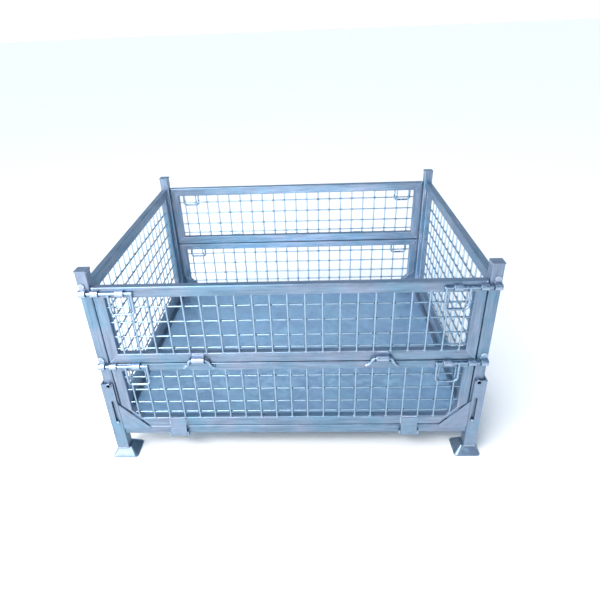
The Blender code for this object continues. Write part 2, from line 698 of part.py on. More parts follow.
def build_bolt(name, sx, z):
    """Slide bolt: a straight rod with a U handle hanging from it."""
    rod = round_bar(name, BOLT_RADIUS, (sx * (HANDLE_X[0] - HANDLE_RADIUS - WELD_SINK), BOLT_Y, z),
                    (sx * BOLT_TIP_X, BOLT_Y, z))
    low = z - HANDLE_DROP
    bend = HANDLE_BEND
    inner, outer = HANDLE_X
    drawing = ([(inner, z)] + arc((inner + bend, low + bend), bend, 180, 270, 3)
               + arc((outer - bend, low + bend), bend, 270, 360, 3) + [(outer, z)])
    handle = bent_bar("handle", [(sx * u, BOLT_Y, v) for u, v in drawing], HANDLE_RADIUS)
    return put(weld_on(rod, handle), "rod")


def build_end(end, turned):
    """Two gates one above the other, with their hinges and bolts."""
    pivot = empty_at(f"{end}_end", (0.0, 0.0, 0.0))
    lower = empty_at(f"{end}_lower_gate_hinge", (0.0, KNUCKLE_Y, KNUCKLE_Z), pivot)
    upper = empty_at(f"{end}_upper_gate_hinge", (0.0, MID_HINGE_Y, MID_HINGE_Z), lower)
    for piece in build_lower_gate(end):
        hang(piece, lower)
    for piece in build_upper_gate(end):
        hang(piece, upper)
    for sx in (-1, 1):
        side = side_name(-sx if turned else sx)
        hang(build_hinge_pin(f"{end}_hinge_pin_{side}", sx * STRAP_X), pivot)
        hang(build_mid_rod(f"{end}_hinge_rod_{side}", sx * MID_HINGE_X), lower)
        for level, z, gate in (("upper", UPPER_BOLT_Z, upper), ("lower", LOWER_BOLT_Z, lower)):
            slide = empty_at(f"{end}_{level}_bolt_slide_{side}", (sx * BOLT_TIP_X, BOLT_Y, z), gate)
            hang(build_bolt(f"{end}_{level}_bolt_{side}", sx, z), slide)
    if turned:
        pivot.rotation_euler = (0.0, 0.0, math.pi)


build_base()
for x_sign in (-1, 1):
    for y_sign in (-1, 1):
        build_leg(x_sign, y_sign)
        build_foot(x_sign, y_sign)
        build_gusset(x_sign, y_sign)
    build_wall(x_sign)
build_end("front", turned=False)
build_end("back", turned=True)
bpy.context.view_layer.update()
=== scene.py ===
"""Collapsible galvanised wire mesh container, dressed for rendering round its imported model.

Metres, +Z up, front gates towards -Y. What the gates carry is built at the front, and
turned half round for the back.
"""
import math

import bmesh
import bpy
from mathutils import Matrix, Vector


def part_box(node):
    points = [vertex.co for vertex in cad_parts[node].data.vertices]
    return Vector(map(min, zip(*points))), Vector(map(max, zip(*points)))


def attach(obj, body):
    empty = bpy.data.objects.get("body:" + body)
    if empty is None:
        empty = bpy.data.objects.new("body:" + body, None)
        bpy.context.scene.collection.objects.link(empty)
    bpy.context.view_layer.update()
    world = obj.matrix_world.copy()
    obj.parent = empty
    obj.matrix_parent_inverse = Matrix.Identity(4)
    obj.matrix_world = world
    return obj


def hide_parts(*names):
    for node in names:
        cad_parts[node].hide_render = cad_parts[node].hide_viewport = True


bl_info = {
    "name": "Wire Mesh Container",
    "version": (1, 0, 0),
    "blender": (4, 5, 0),
    "location": "View3D > Sidebar > Container",
    "description": "Builds the tubes, meshes, bolts and welds of a collapsible wire mesh container",
    "category": "Add Mesh",
}

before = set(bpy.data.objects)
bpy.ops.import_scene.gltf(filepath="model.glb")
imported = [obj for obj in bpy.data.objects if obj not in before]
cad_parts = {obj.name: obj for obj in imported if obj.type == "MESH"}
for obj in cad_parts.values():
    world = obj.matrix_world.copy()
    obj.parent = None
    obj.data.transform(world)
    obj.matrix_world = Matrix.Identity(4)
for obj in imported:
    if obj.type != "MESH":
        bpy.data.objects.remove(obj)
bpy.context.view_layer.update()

# ---- sizes of the model that the pieces are built on, in metres ----
GAP = 0.0003
TUBE_FACE = 0.035            # frame tube, across its face
TUBE_DEPTH = 0.025
GATE_FACE = 0.503            # outer face of the gates, from the middle
BOLT_RADIUS = 0.005
BOLT_CLEARANCE = 0.001
GUIDE_PLATE = 0.004
BOLT_Y = -(GATE_FACE + BOLT_CLEARANCE + BOLT_RADIUS)
HANDLE_RADIUS = 0.004
PITCH = 0.0508               # two inch welded mesh
STRAP_PLATE = 0.005
POST = 0.035                 # corner post, square
POST_FACE = 0.5              # outer face of the posts, from the middle, front and back
CAP_LIP = 0.0008             # how far a post's cap stands past it
LEG_STANDOFF = 0.0083        # outer face of a leg past the post's face
LOCK_PIN_RADIUS = 0.0062
GATE_RUN = 0.0015            # play between a gate and the posts

POST_LOW, POST_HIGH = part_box("post_front_right")
BASE_LOW, BASE_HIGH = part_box("base_frame")
WALL_LOW, WALL_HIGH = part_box("right_wall_frame")
DECK_LOW, DECK_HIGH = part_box("deck_sheet")


def linear(hex_colour):
    """An sRGB hex colour as linear RGBA."""
    channels = [int(hex_colour[i:i + 2], 16) / 255 for i in (1, 3, 5)]
    return (*(c / 12.92 if c <= 0.04045 else ((c + 0.055) / 1.055) ** 2.4 for c in channels), 1.0)


# ---- settings ----
class ContainerSizes(bpy.types.PropertyGroup):
    """Sizes of what is added to the model."""

    tube_radius: bpy.props.FloatProperty(
        name="Tube corner radius", description="Rounding along the edges of the frame tubes",
        default=0.0046, min=0.0005, max=0.008, unit="LENGTH")
    plate_radius: bpy.props.FloatProperty(
        name="Plate edge radius", description="Rounding along the edges of cut and folded plates",
        default=0.0009, min=0.0002, max=0.002, unit="LENGTH")
    wire_diameter: bpy.props.FloatProperty(
        name="Wire diameter", description="Wire of the welded meshes",
        default=0.0056, min=0.003, max=0.007, unit="LENGTH")
    bead_radius: bpy.props.FloatProperty(
        name="Weld bead radius", description="Half the width of a weld bead",
        default=0.0024, min=0.001, max=0.005, unit="LENGTH")
    bead_spacing: bpy.props.FloatProperty(
        name="Weld ripple spacing", description="Distance between the ripples of a weld bead",
        default=0.0024, min=0.001, max=0.01, unit="LENGTH")
    spangle: bpy.props.FloatProperty(
        name="Zinc spangle size", description="Width of a zinc crystal on the tubes and plates",
        default=0.011, min=0.002, max=0.05, unit="LENGTH")


class ContainerColours(bpy.types.PropertyGroup):
    """Colours of the zinc on each kind of steel."""

    tube: bpy.props.FloatVectorProperty(
        name="Tube", description="Zinc on the frame tubes", subtype="COLOR", size=4,
        min=0.0, max=1.0, default=linear("#6E8CA3"))
    tube_tint: bpy.props.FloatVectorProperty(
        name="Tube tint", description="Lavender patches on the frame tubes", subtype="COLOR", size=4,
        min=0.0, max=1.0, default=linear("#8391A6"))
    wire: bpy.props.FloatVectorProperty(
        name="Wire", description="Zinc on the mesh wires", subtype="COLOR", size=4,
        min=0.0, max=1.0, default=linear("#97AFC2"))
    sheet: bpy.props.FloatVectorProperty(
        name="Deck sheet", description="Zinc on the deck", subtype="COLOR", size=4,
        min=0.0, max=1.0, default=linear("#C0DDEE"))
    plate: bpy.props.FloatVectorProperty(
        name="Plate", description="Zinc on legs, feet, gussets and keepers", subtype="COLOR", size=4,
        min=0.0, max=1.0, default=linear("#7492A8"))
    rod: bpy.props.FloatVectorProperty(
        name="Rod", description="Zinc on bolts and hinge rods", subtype="COLOR", size=4,
        min=0.0, max=1.0, default=linear("#92A8BE"))


# ---- node trees ----
def add_node(tree, kind, settings=None, links=None):
    """Add a node; settings are its own values or its inputs' values, links its inputs' sources."""
    node = tree.nodes.new(kind)
    for key, value in (settings or {}).items():
        if isinstance(key, str) and hasattr(node, key):
            setattr(node, key, value)
        else:
            node.inputs[key].default_value = value
    for key, source in (links or {}).items():
        tree.links.new(source, node.inputs[key])
    return node


def new_geometry_tree(name, inputs):
    """A geometry tree with named inputs, given as (label, socket kind, default)."""
    tree = bpy.data.node_groups.new(name, "GeometryNodeTree")
    tree.interface.new_socket("Geometry", in_out="INPUT", socket_type="NodeSocketGeometry")
    for label, kind, default in inputs:
        socket = tree.interface.new_socket(label, in_out="INPUT", socket_type=kind)
        if default is not None:
            socket.default_value = default
    tree.interface.new_socket("Geometry", in_out="OUTPUT", socket_type="NodeSocketGeometry")
    return tree


def end_tree(tree, source, material):
    """Close a geometry tree: shade smooth, realise, set the material."""
    smooth = add_node(tree, "GeometryNodeSetShadeSmooth", links={"Geometry": source})
    real = add_node(tree, "GeometryNodeRealizeInstances", links={"Geometry": smooth.outputs[0]})
    painted = add_node(tree, "GeometryNodeSetMaterial",
                       links={"Geometry": real.outputs[0], "Material": material})
    add_node(tree, "NodeGroupOutput", links={"Geometry": painted.outputs[0]})


def make_round_bar_tree():
    """Sweeps a circle along every chain of edges."""
    tree = new_geometry_tree("round_bar", [
        ("Radius", "NodeSocketFloat", 0.0025), ("Sides", "NodeSocketInt", 8),
        ("Material", "NodeSocketMaterial", None)])
    given = add_node(tree, "NodeGroupInput")
    path = add_node(tree, "GeometryNodeMeshToCurve", links={"Mesh": given.outputs["Geometry"]})
    ring = add_node(tree, "GeometryNodeCurvePrimitiveCircle",
                    links={"Resolution": given.outputs["Sides"], "Radius": given.outputs["Radius"]})
    bar = add_node(tree, "GeometryNodeCurveToMesh", {"Fill Caps": True},
                   {"Curve": path.outputs[0], "Profile Curve": ring.outputs[0]})
    end_tree(tree, bar.outputs[0], given.outputs["Material"])
    return tree


def make_weld_tree():
    """Lays overlapping ripples along every chain of edges, as a weld bead has."""
    tree = new_geometry_tree("weld_bead", [
        ("Radius", "NodeSocketFloat", 0.0024), ("Spacing", "NodeSocketFloat", 0.0024),
        ("Seed", "NodeSocketInt", 7), ("Material", "NodeSocketMaterial", None)])
    given = add_node(tree, "NodeGroupInput")
    path = add_node(tree, "GeometryNodeMeshToCurve", links={"Mesh": given.outputs["Geometry"]})
    steps = add_node(tree, "GeometryNodeResampleCurve", {"mode": "LENGTH"},
                     {"Curve": path.outputs[0], "Length": given.outputs["Spacing"]})
    ripple = add_node(tree, "GeometryNodeMeshUVSphere", {"Segments": 8, "Rings": 5},
                      {"Radius": given.outputs["Radius"]})
    spread = add_node(tree, "FunctionNodeRandomValue", {"data_type": "FLOAT_VECTOR"},
                      {"Seed": given.outputs["Seed"]})
    spread.inputs[0].default_value = (0.85, 0.80, 0.75)
    spread.inputs[1].default_value = (1.20, 1.20, 1.10)
    laid = add_node(tree, "GeometryNodeInstanceOnPoints", links={
        "Points": steps.outputs[0], "Instance": ripple.outputs[0], "Scale": spread.outputs[0]})
    end_tree(tree, laid.outputs[0], given.outputs["Material"])
    return tree


# ---- zinc ----
def make_zinc(name, colour, tint, spangle, roughness, metallic, contrast=0.10, streak=0.10, bump=0.25):
    """Hot-dip zinc: spangle, soft patches of tint, run streaks and a fine orange peel.

    The crystals catch the light each in its own way, so a face is never one even grey;
    zinc is a soft satin metal, bright where a rounded edge turns to the light.
    """
    material = bpy.data.materials.new(name)
    material.use_nodes = True
    tree = material.node_tree
    shader = tree.nodes["Principled BSDF"]
    place = add_node(tree, "ShaderNodeTexCoord").outputs["Object"]
    crystals = add_node(tree, "ShaderNodeTexVoronoi", {"Scale": 1.0 / spangle, "Randomness": 1.0},
                        {"Vector": place})
    flake = add_node(tree, "ShaderNodeSeparateColor", links={"Color": crystals.outputs["Color"]}).outputs[0]
    patches = add_node(tree, "ShaderNodeTexNoise", {"Scale": 9.0, "Detail": 3.0, "Roughness": 0.6},
                       {"Vector": place}).outputs["Fac"]
    patch_mask = add_node(tree, "ShaderNodeMapRange", {1: 0.38, 2: 0.62, 3: 0.0, 4: 1.0},
                          {0: patches}).outputs[0]
    # streaks about 6 mm wide and ten times as long, along the way the steel was drawn
    grain = add_node(tree, "ShaderNodeAttribute", {"attribute_name": "grain"}).outputs["Vector"]
    reach = add_node(tree, "ShaderNodeVectorMath", {"operation": "DOT_PRODUCT"}, {0: place, 1: grain})
    squeeze = add_node(tree, "ShaderNodeMath", {"operation": "MULTIPLY", 1: -0.93},
                       {0: reach.outputs["Value"]})
    pulled = add_node(tree, "ShaderNodeVectorMath", {"operation": "SCALE"},
                      {0: grain, "Scale": squeeze.outputs[0]})
    along = add_node(tree, "ShaderNodeVectorMath", {"operation": "ADD"}, {0: place, 1: pulled.outputs[0]})
    runs = add_node(tree, "ShaderNodeTexNoise", {"Scale": 160.0, "Detail": 2.0},
                    {"Vector": along.outputs[0]}).outputs["Fac"]
    tinted = add_node(tree, "ShaderNodeMix", {"data_type": "RGBA", 6: colour, 7: tint}, {0: patch_mask})
    flake_light = add_node(tree, "ShaderNodeMapRange",
                           {1: 0.0, 2: 1.0, 3: 1.0 - contrast, 4: 1.0 + contrast * 0.6},
                           {0: flake}).outputs[0]
    run_light = add_node(tree, "ShaderNodeMapRange", {1: 0.3, 2: 0.7, 3: 1.0 - streak, 4: 1.0 + streak * 0.5},
                         {0: runs}).outputs[0]
    light = add_node(tree, "ShaderNodeMath", {"operation": "MULTIPLY"},
                     {0: flake_light, 1: run_light}).outputs[0]
    shaded = add_node(tree, "ShaderNodeVectorMath", {"operation": "SCALE"},
                      {0: tinted.outputs[2], "Scale": light})
    tree.links.new(shaded.outputs[0], shader.inputs["Base Color"])
    rough = add_node(tree, "ShaderNodeMapRange", {1: 0.0, 2: 1.0, 3: roughness - 0.07, 4: roughness + 0.09},
                     {0: flake}).outputs[0]
    tree.links.new(rough, shader.inputs["Roughness"])
    # orange peel of the zinc coat, about 2 mm from bump to bump
    peel = add_node(tree, "ShaderNodeTexNoise", {"Scale": 480.0, "Detail": 2.0},
                    {"Vector": place}).outputs["Fac"]
    bumped = add_node(tree, "ShaderNodeBump", {"Strength": bump, "Distance": 0.0003}, {"Height": peel})
    tree.links.new(bumped.outputs[0], shader.inputs["Normal"])
    shader.inputs["Metallic"].default_value = metallic
    return material


class Workshop:
    """What the operators share while the container is made."""

    materials = {}
    trees = {}


def prepare():
    """Make the zinc materials and the geometry trees once."""
    if Workshop.materials:
        return
    sizes, colours = bpy.context.scene.container_sizes, bpy.context.scene.container_colours
    tube, tint = tuple(colours.tube), tuple(colours.tube_tint)
    Workshop.materials = {
        # tube dipped after welding: satin, with lavender patches and run streaks
        "tube": make_zinc("hot_dip_zinc_tube", tube, tint, sizes.spangle, 0.40, 0.8, contrast=0.06,
                          streak=0.24),
        # drawn wire: smooth and bright, crystals too small to see
        "wire": make_zinc("hot_dip_zinc_wire", tuple(colours.wire), tuple(colours.wire), 0.004, 0.34, 1.0,
                          contrast=0.06, streak=0.04, bump=0.1),
        # rolled sheet: larger crystals lying flat, even mottling
        "sheet": make_zinc("galvanised_sheet", tuple(colours.sheet), linear("#BED4EA"), 0.016, 0.40, 1.0,
                           contrast=0.07, streak=0.02, bump=0.12),
        # cut and pressed plate: thicker coat, coarser crystals
        "plate": make_zinc("hot_dip_zinc_plate", tuple(colours.plate), tint, sizes.spangle * 1.2, 0.38, 0.8,
                           contrast=0.08),
        # round bar, polished where it slides
        "rod": make_zinc("hot_dip_zinc_rod", tuple(colours.rod), tuple(colours.rod), 0.006, 0.26, 1.0,
                         contrast=0.08, streak=0.05, bump=0.1),
        # small fittings: thin bright zinc
        "fitting": make_zinc("bright_zinc_fitting", linear("#98AEC4"), linear("#A6AEBF"), 0.006, 0.34, 1.0,
                             contrast=0.10, streak=0.06, bump=0.15),
        # where the wires are welded and cross: a dark colour painted on, standing in for the shadow each
        # upright casts on the wire behind it
        "crossing_shade": make_zinc("painted_crossing_shade", linear("#5B6F81"), linear("#64778A"), 0.004, 0.5, 1.0,
                          contrast=0.1, streak=0.0, bump=0.3),
        # weld metal under the zinc: brighter and rougher
        "weld": make_zinc("zinc_over_weld", linear("#B2BECB"), linear("#A9B2C4"), 0.003, 0.45, 1.0,
                          contrast=0.15, streak=0.05, bump=0.5),
    }
    Workshop.trees = {"bar": make_round_bar_tree(), "weld": make_weld_tree()}


# ---- making pieces ----
TURN = Matrix.Rotation(math.pi, 4, "Z")


def link(name, mesh):
    obj = bpy.data.objects.new(name, mesh)
    bpy.context.scene.collection.objects.link(obj)
    return obj


def settle(obj):
    """Turn an object with modifiers into a plain mesh object of the same name."""
    bpy.context.view_layer.update()
    graph = bpy.context.evaluated_depsgraph_get()
    mesh = bpy.data.meshes.new_from_object(obj.evaluated_get(graph))
    obj.modifiers.clear()
    old = obj.data
    obj.data = mesh
    bpy.data.meshes.remove(old)
    return obj


def place_piece(obj, body, nodes=()):
    """Hand a finished piece over to its body."""
    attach(obj, body)
    if nodes:
        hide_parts(*nodes)
    return obj


def mark_grain(shape):
    """Store on each face the way its steel was drawn: along its longest edge."""
    layer = shape.faces.layers.float_vector.new("grain")
    for face in shape.faces:
        longest = max(face.edges, key=lambda e: e.calc_length())
        run = (longest.verts[1].co - longest.verts[0].co).normalized()
        face[layer] = [abs(round(c, 3)) for c in run] if max(map(abs, run)) > 0.99 else run


def finish_solid(name, shape, kind, sharp_angle=40.0):
    """A piece from a bmesh: weld it, face it outwards and shade it by face size."""
    bmesh.ops.remove_doubles(shape, verts=shape.verts, dist=0.00001)
    bmesh.ops.recalc_face_normals(shape, faces=shape.faces)
    mark_grain(shape)
    for face in shape.faces:
        face.smooth = True
    limit = math.radians(sharp_angle)
    for edge in shape.edges:
        edge.smooth = len(edge.link_faces) == 2 and edge.calc_face_angle(0.0) < limit
    mesh = bpy.data.meshes.new(name)
    shape.to_mesh(mesh)
    shape.free()
    mesh.materials.append(Workshop.materials[kind])
    obj = link(name, mesh)
    even = obj.modifiers.new("even", "WEIGHTED_NORMAL")
    even.keep_sharp = True
    return settle(obj)


def along_paths(name, paths, tree, values, matrix=None):
    """A piece that a geometry tree lays along open paths."""
    shape = bmesh.new()
    for path in paths:
        verts = [shape.verts.new(p) for p in path]
        for a, b in zip(verts, verts[1:]):
            shape.edges.new((a, b))
    if matrix is not None:
        shape.transform(matrix)
    mesh = bpy.data.meshes.new(name)
    shape.to_mesh(mesh)
    shape.free()
    obj = link(name, mesh)
    modifier = obj.modifiers.new("laid", "NODES")
    modifier.node_group = Workshop.trees[tree]
    for item in Workshop.trees[tree].interface.items_tree:
        if item.item_type == "SOCKET" and item.in_out == "INPUT" and item.name in values:
            modifier[item.identifier] = values[item.name]
    return settle(obj)


def bars(name, paths, radius, kind, sides=12, matrix=None):
    return along_paths(name, paths, "bar",
                       {"Radius": radius, "Sides": sides, "Material": Workshop.materials[kind]}, matrix)


def welds(name, paths, body, matrix=None, scale=1.0, seed=7):
    """Weld beads along paths, riding on a body."""
    sizes = bpy.context.scene.container_sizes
    obj = along_paths(name, paths, "weld", {
        "Radius": sizes.bead_radius * scale, "Spacing": sizes.bead_spacing * scale, "Seed": seed,
        "Material": Workshop.materials["weld"]}, matrix)
    return place_piece(obj, body)


def loft(shape, rings, closed_ends=True, cyclic=False):
    """Skin between rings of points with the same count."""
    rows = [[shape.verts.new(p) for p in ring] for ring in rings]
    pairs = list(zip(rows, rows[1:]))
    if cyclic:
        pairs.append((rows[-1], rows[0]))
    for lower, upper in pairs:
        for i in range(len(lower)):
            j = (i + 1) % len(lower)
            shape.faces.new((lower[i], lower[j], upper[j], upper[i]))
    if closed_ends and not cyclic:
        shape.faces.new(rows[0])
        shape.faces.new(list(reversed(rows[-1])))


def rounded_rectangle(low_u, high_u, low_v, high_v, radius, steps=3):
    """Points round a rectangle with rounded corners."""
    loop = []
    corners = ((high_u, high_v, 0), (low_u, high_v, 90), (low_u, low_v, 180), (high_u, low_v, 270))
    for u, v, start in corners:
        cu = u - math.copysign(radius, u - (low_u + high_u) / 2)
        cv = v - math.copysign(radius, v - (low_v + high_v) / 2)
        for i in range(steps + 1):
            turn = math.radians(start + 90 * i / steps)
            loop.append((cu + radius * math.cos(turn), cv + radius * math.sin(turn)))
    return loop


def mitred_frame(shape, outer, inner, back, front, stand):
    """Closed frame of rounded tube between two outlines, with mitred corners.

    stand takes (across, up, depth) to the frame's place.
    """
    radius = bpy.context.scene.container_sizes.tube_radius
    depth = abs(front - back)
    share = rounded_rectangle(0.0, TUBE_FACE, 0.0, depth, radius)
    rings = []
    for (ou, ov), (iu, iv) in zip(outer, inner):
        ring = []
        for across, deep in share:
            s = across / TUBE_FACE
            d = back + (front - back) * deep / depth
            ring.append(stand(ou + (iu - ou) * s, ov + (iv - ov) * s, d))
        rings.append(ring)
    loft(shape, rings, cyclic=True)


def straight_tube(shape, low, high, axis, radius):
    """Rounded tube filling the box from low to high, running along axis."""
    others = [i for i in range(3) if i != axis]
    loop = rounded_rectangle(low[others[0]], high[others[0]], low[others[1]], high[others[1]], radius)
    rings = []
    for end in (low[axis], high[axis]):
        ring = []
        for u, v in loop:
            point = [0.0, 0.0, 0.0]
            point[axis], point[others[0]], point[others[1]] = end, u, v
            ring.append(point)
        rings.append(ring)
    loft(shape, rings)


def round_edges(shape, faces, radius, segments=2, above=35.0):
    """Bevel the crisp edges of the given faces."""
    edges = {e for f in faces for e in f.edges
             if len(e.link_faces) == 2 and e.calc_face_angle(0.0) > math.radians(above)}
    bmesh.ops.bevel(shape, geom=list(edges), offset=radius, segments=segments, profile=0.5,
                    affect="EDGES", clamp_overlap=True)


def rounded_loft(shape, rings, radius):
    """Skin between rings, with its crisp edges rounded."""
    before = set(shape.faces)
    loft(shape, rings)
    made = [f for f in shape.faces if f not in before]
    bmesh.ops.recalc_face_normals(shape, faces=made)
    round_edges(shape, made, radius)


def folded_bar(shape, profile, start, end, radius=None):
    """A (y, z) profile drawn out along x, with its crisp edges rounded."""
    if radius is None:
        radius = bpy.context.scene.container_sizes.plate_radius
    rounded_loft(shape, [[(x, y, z) for y, z in profile] for x in (start, end)], radius)


def turned(shape, profile, start, direction, sides=20, hollow=False):
    """Turn (along, radius) pairs about a line; hollow closes the profile on itself."""
    direction = Vector(direction).normalized()
    side = direction.orthogonal().normalized()
    up = direction.cross(side)
    rings = []
    for along, radius in profile:
        centre = Vector(start) + direction * along
        rings.append([centre + (side * math.cos(t) + up * math.sin(t)) * radius
                      for t in (2 * math.pi * i / sides for i in range(sides))])
    loft(shape, rings, cyclic=hollow)


def chamfered_pin(shape, start, end, radius, chamfer=0.0008, sides=20):
    run = Vector(end) - Vector(start)
    turned(shape, [(0.0, radius - chamfer), (chamfer, radius), (run.length - chamfer, radius),
                   (run.length, radius - chamfer)], start, run, sides)


def knuckle(shape, y, z, outer, bore, start, end, sides=24):
    """Rolled eye round a pin that runs along x."""
    chamfer = 0.0006
    turned(shape, [(0.0, outer - chamfer), (chamfer, outer), (end - start - chamfer, outer),
                   (end - start, outer - chamfer), (end - start, bore), (0.0, bore)],
           (start, y, z), (1, 0, 0), sides, hollow=True)


def from_model(node, radius, above=35.0):
    """A copy of a model node as a clean bmesh with its crisp edges rounded."""
    shape = bmesh.new()
    shape.from_mesh(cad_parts[node].data)
    bmesh.ops.remove_doubles(shape, verts=shape.verts, dist=0.00002)
    bmesh.ops.dissolve_limit(shape, angle_limit=math.radians(1.0), verts=shape.verts, edges=shape.edges)
    bmesh.ops.recalc_face_normals(shape, faces=shape.faces)
    round_edges(shape, list(shape.faces), radius, above=above)
    return shape


def arc(centre, radius, start, end, steps):
    turns = [math.radians(start + (end - start) * i / steps) for i in range(steps + 1)]
    return [(centre[0] + radius * math.cos(t), centre[1] + radius * math.sin(t)) for t in turns]


def smooth_path(points, steps=5):
    """Catmull-Rom points through a chain of points."""
    padded = [points[0], *points, points[-1]]
    path = []
    for a, b, c, d in zip(padded, padded[1:], padded[2:], padded[3:]):
        a, b, c, d = Vector(a), Vector(b), Vector(c), Vector(d)
        for i in range(steps):
            t = i / steps
            path.append(0.5 * (2 * b + (c - a) * t + (2 * a - 5 * b + 4 * c - d) * t * t
                               + (3 * b - a - 3 * c + d) * t ** 3))
    return path + [Vector(points[-1])]


# ---- profiles shared by both ends ----
def guide_profile(z, low_back, top_back):
    """Plate bent round a bolt at height z, as (y, z) points at the front."""
    half = BOLT_RADIUS + BOLT_CLEARANCE
    outer = half + GUIDE_PLATE
    outside = arc((BOLT_Y, z), outer, 270, 90, 12)
    inside = arc((BOLT_Y, z), half, 90, 270, 12)
    return ([(-low_back, z - outer)] + outside + [(-top_back, z + outer)]
            + [(-top_back, z + half)] + inside + [(-low_back, z - half)])


def box_outline(half, low, high):
    return [(-half, low), (half, low), (half, high), (-half, high)]


def frame_stand(u, v, depth):
    """A frame drawn across x and up z, with depth along y."""
    return (u, depth, v)


def wall_stand(u, v, depth):
    """A frame drawn across y and up z, with depth along x."""
    return (depth, u, v)


UPPER_BOLT_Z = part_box("keeper_upper_front_right")[0].z + BOLT_RADIUS + BOLT_CLEARANCE + GUIDE_PLATE
LOWER_BOLT_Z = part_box("keeper_lower_front_right")[0].z + BOLT_RADIUS + BOLT_CLEARANCE + GUIDE_PLATE
POST_EDGE = POST_LOW.x if abs(POST_LOW.x) < abs(POST_HIGH.x) else POST_HIGH.x
POST_EDGE = round(POST_EDGE + CAP_LIP, 5)
GUIDE_SPANS = ((POST_EDGE - 0.099, POST_EDGE - 0.0745), (POST_EDGE - 0.025, POST_EDGE - 0.003))
HANDLE_SPAN = (POST_EDGE - 0.118, POST_EDGE - 0.051)
GATE_HALF = POST_EDGE - GATE_RUN
GATE_BACK = GATE_FACE - TUBE_DEPTH
STRAP_X = GATE_HALF - 0.1825
STRAP_WIDTH = 0.052
MID_HINGE_X = GATE_HALF - 0.2825
MID_BRACKET_WIDTH = 0.038
UPPER_BOTTOM_Z, UPPER_TOP_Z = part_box("front_upper_gate_frame")[0].z, WALL_HIGH.z
LOWER_TOP_Z = UPPER_BOTTOM_Z - 0.002
LOWER_BOTTOM_Z = BASE_HIGH.z + 0.0015
KNUCKLE_Y, KNUCKLE_Z = -(GATE_FACE + GAP + 0.0078), BASE_LOW.z + 0.0085
MID_HINGE_Y, MID_HINGE_Z = -(GATE_FACE + 0.011), UPPER_BOTTOM_Z + 0.016
MESH_SETBACK = 0.0055
SIDE_RELIEF = 0.0011          # how much narrower a gate's frame is drawn, beside each post


def mesh_paths(columns, rows, half, low, high, corner, slope, plane, inward):
    """Centre lines of a welded mesh: uprights outside, rows inside, ends in the frame."""
    reach = 0.004
    layer = bpy.context.scene.container_sizes.wire_diameter / 2
    uprights, across = [], []
    for u in columns:
        cut = max(0.0, corner - (half - abs(u))) * slope
        uprights.append([(u, plane - inward * layer, low - reach + cut),
                         (u, plane - inward * layer, high + reach)])
    for v in rows:
        end = half + reach - max(0.0, corner - (v - low) / slope)
        across.append([(-end, plane + inward * layer, v), (end, plane + inward * layer, v)])
    return uprights, across


def centre_columns(half):
    count = int((half - 0.005) / PITCH)
    return [i * PITCH for i in range(-count, count + 1)]


def rows_between(top, bottom):
    return [bottom] + sorted(top - PITCH * i for i in range(round((top - bottom) / PITCH)))


def foot_spots(paths_up, low_end=0.0035):
    """Short welds where the uprights stand on the bottom rail."""
    return [[(up[0][0] - 0.0035, up[0][1], up[0][2] + low_end),
             (up[0][0] + 0.0035, up[0][1], up[0][2] + low_end)]
            for up in paths_up]


def painted_shade_sleeves(paths_up, paths_across):
    """Sleeves painted dark on the inner wires, where the uprights are welded to them: painted shadow of each
    upright on the wire behind.
    """
    shade_sleeves = []
    for up in paths_up:
        for row in paths_across:
            u, v, y = up[0][0], row[0][2], row[0][1]
            if up[0][2] < v < up[1][2] and row[0][0] < u < row[1][0]:
                shade_sleeves.append([(u - 0.0044, y, v), (u, y, v), (u + 0.0044, y, v)])
    return shade_sleeves


def welded_mesh(body, up, across, stand):
    """The wires of a body's mesh, and the sleeves of painted shade where they cross."""
    diameter = bpy.context.scene.container_sizes.wire_diameter
    wires = bars(f"{body}_wires", up + across, diameter / 2, "wire", 8, stand)
    place_piece(wires, body, [f"{body}_mesh"])
    # dark sleeves at every crossing: painted shadow of the uprights on the rows behind them
    shade_sleeves = along_paths(f"{body}_wire_crossing_shade", painted_shade_sleeves(up, across), "weld", {
        "Radius": 0.0033, "Spacing": 0.0044, "Seed": 3, "Material": Workshop.materials["crossing_shade"]}, stand)
    place_piece(shade_sleeves, body)


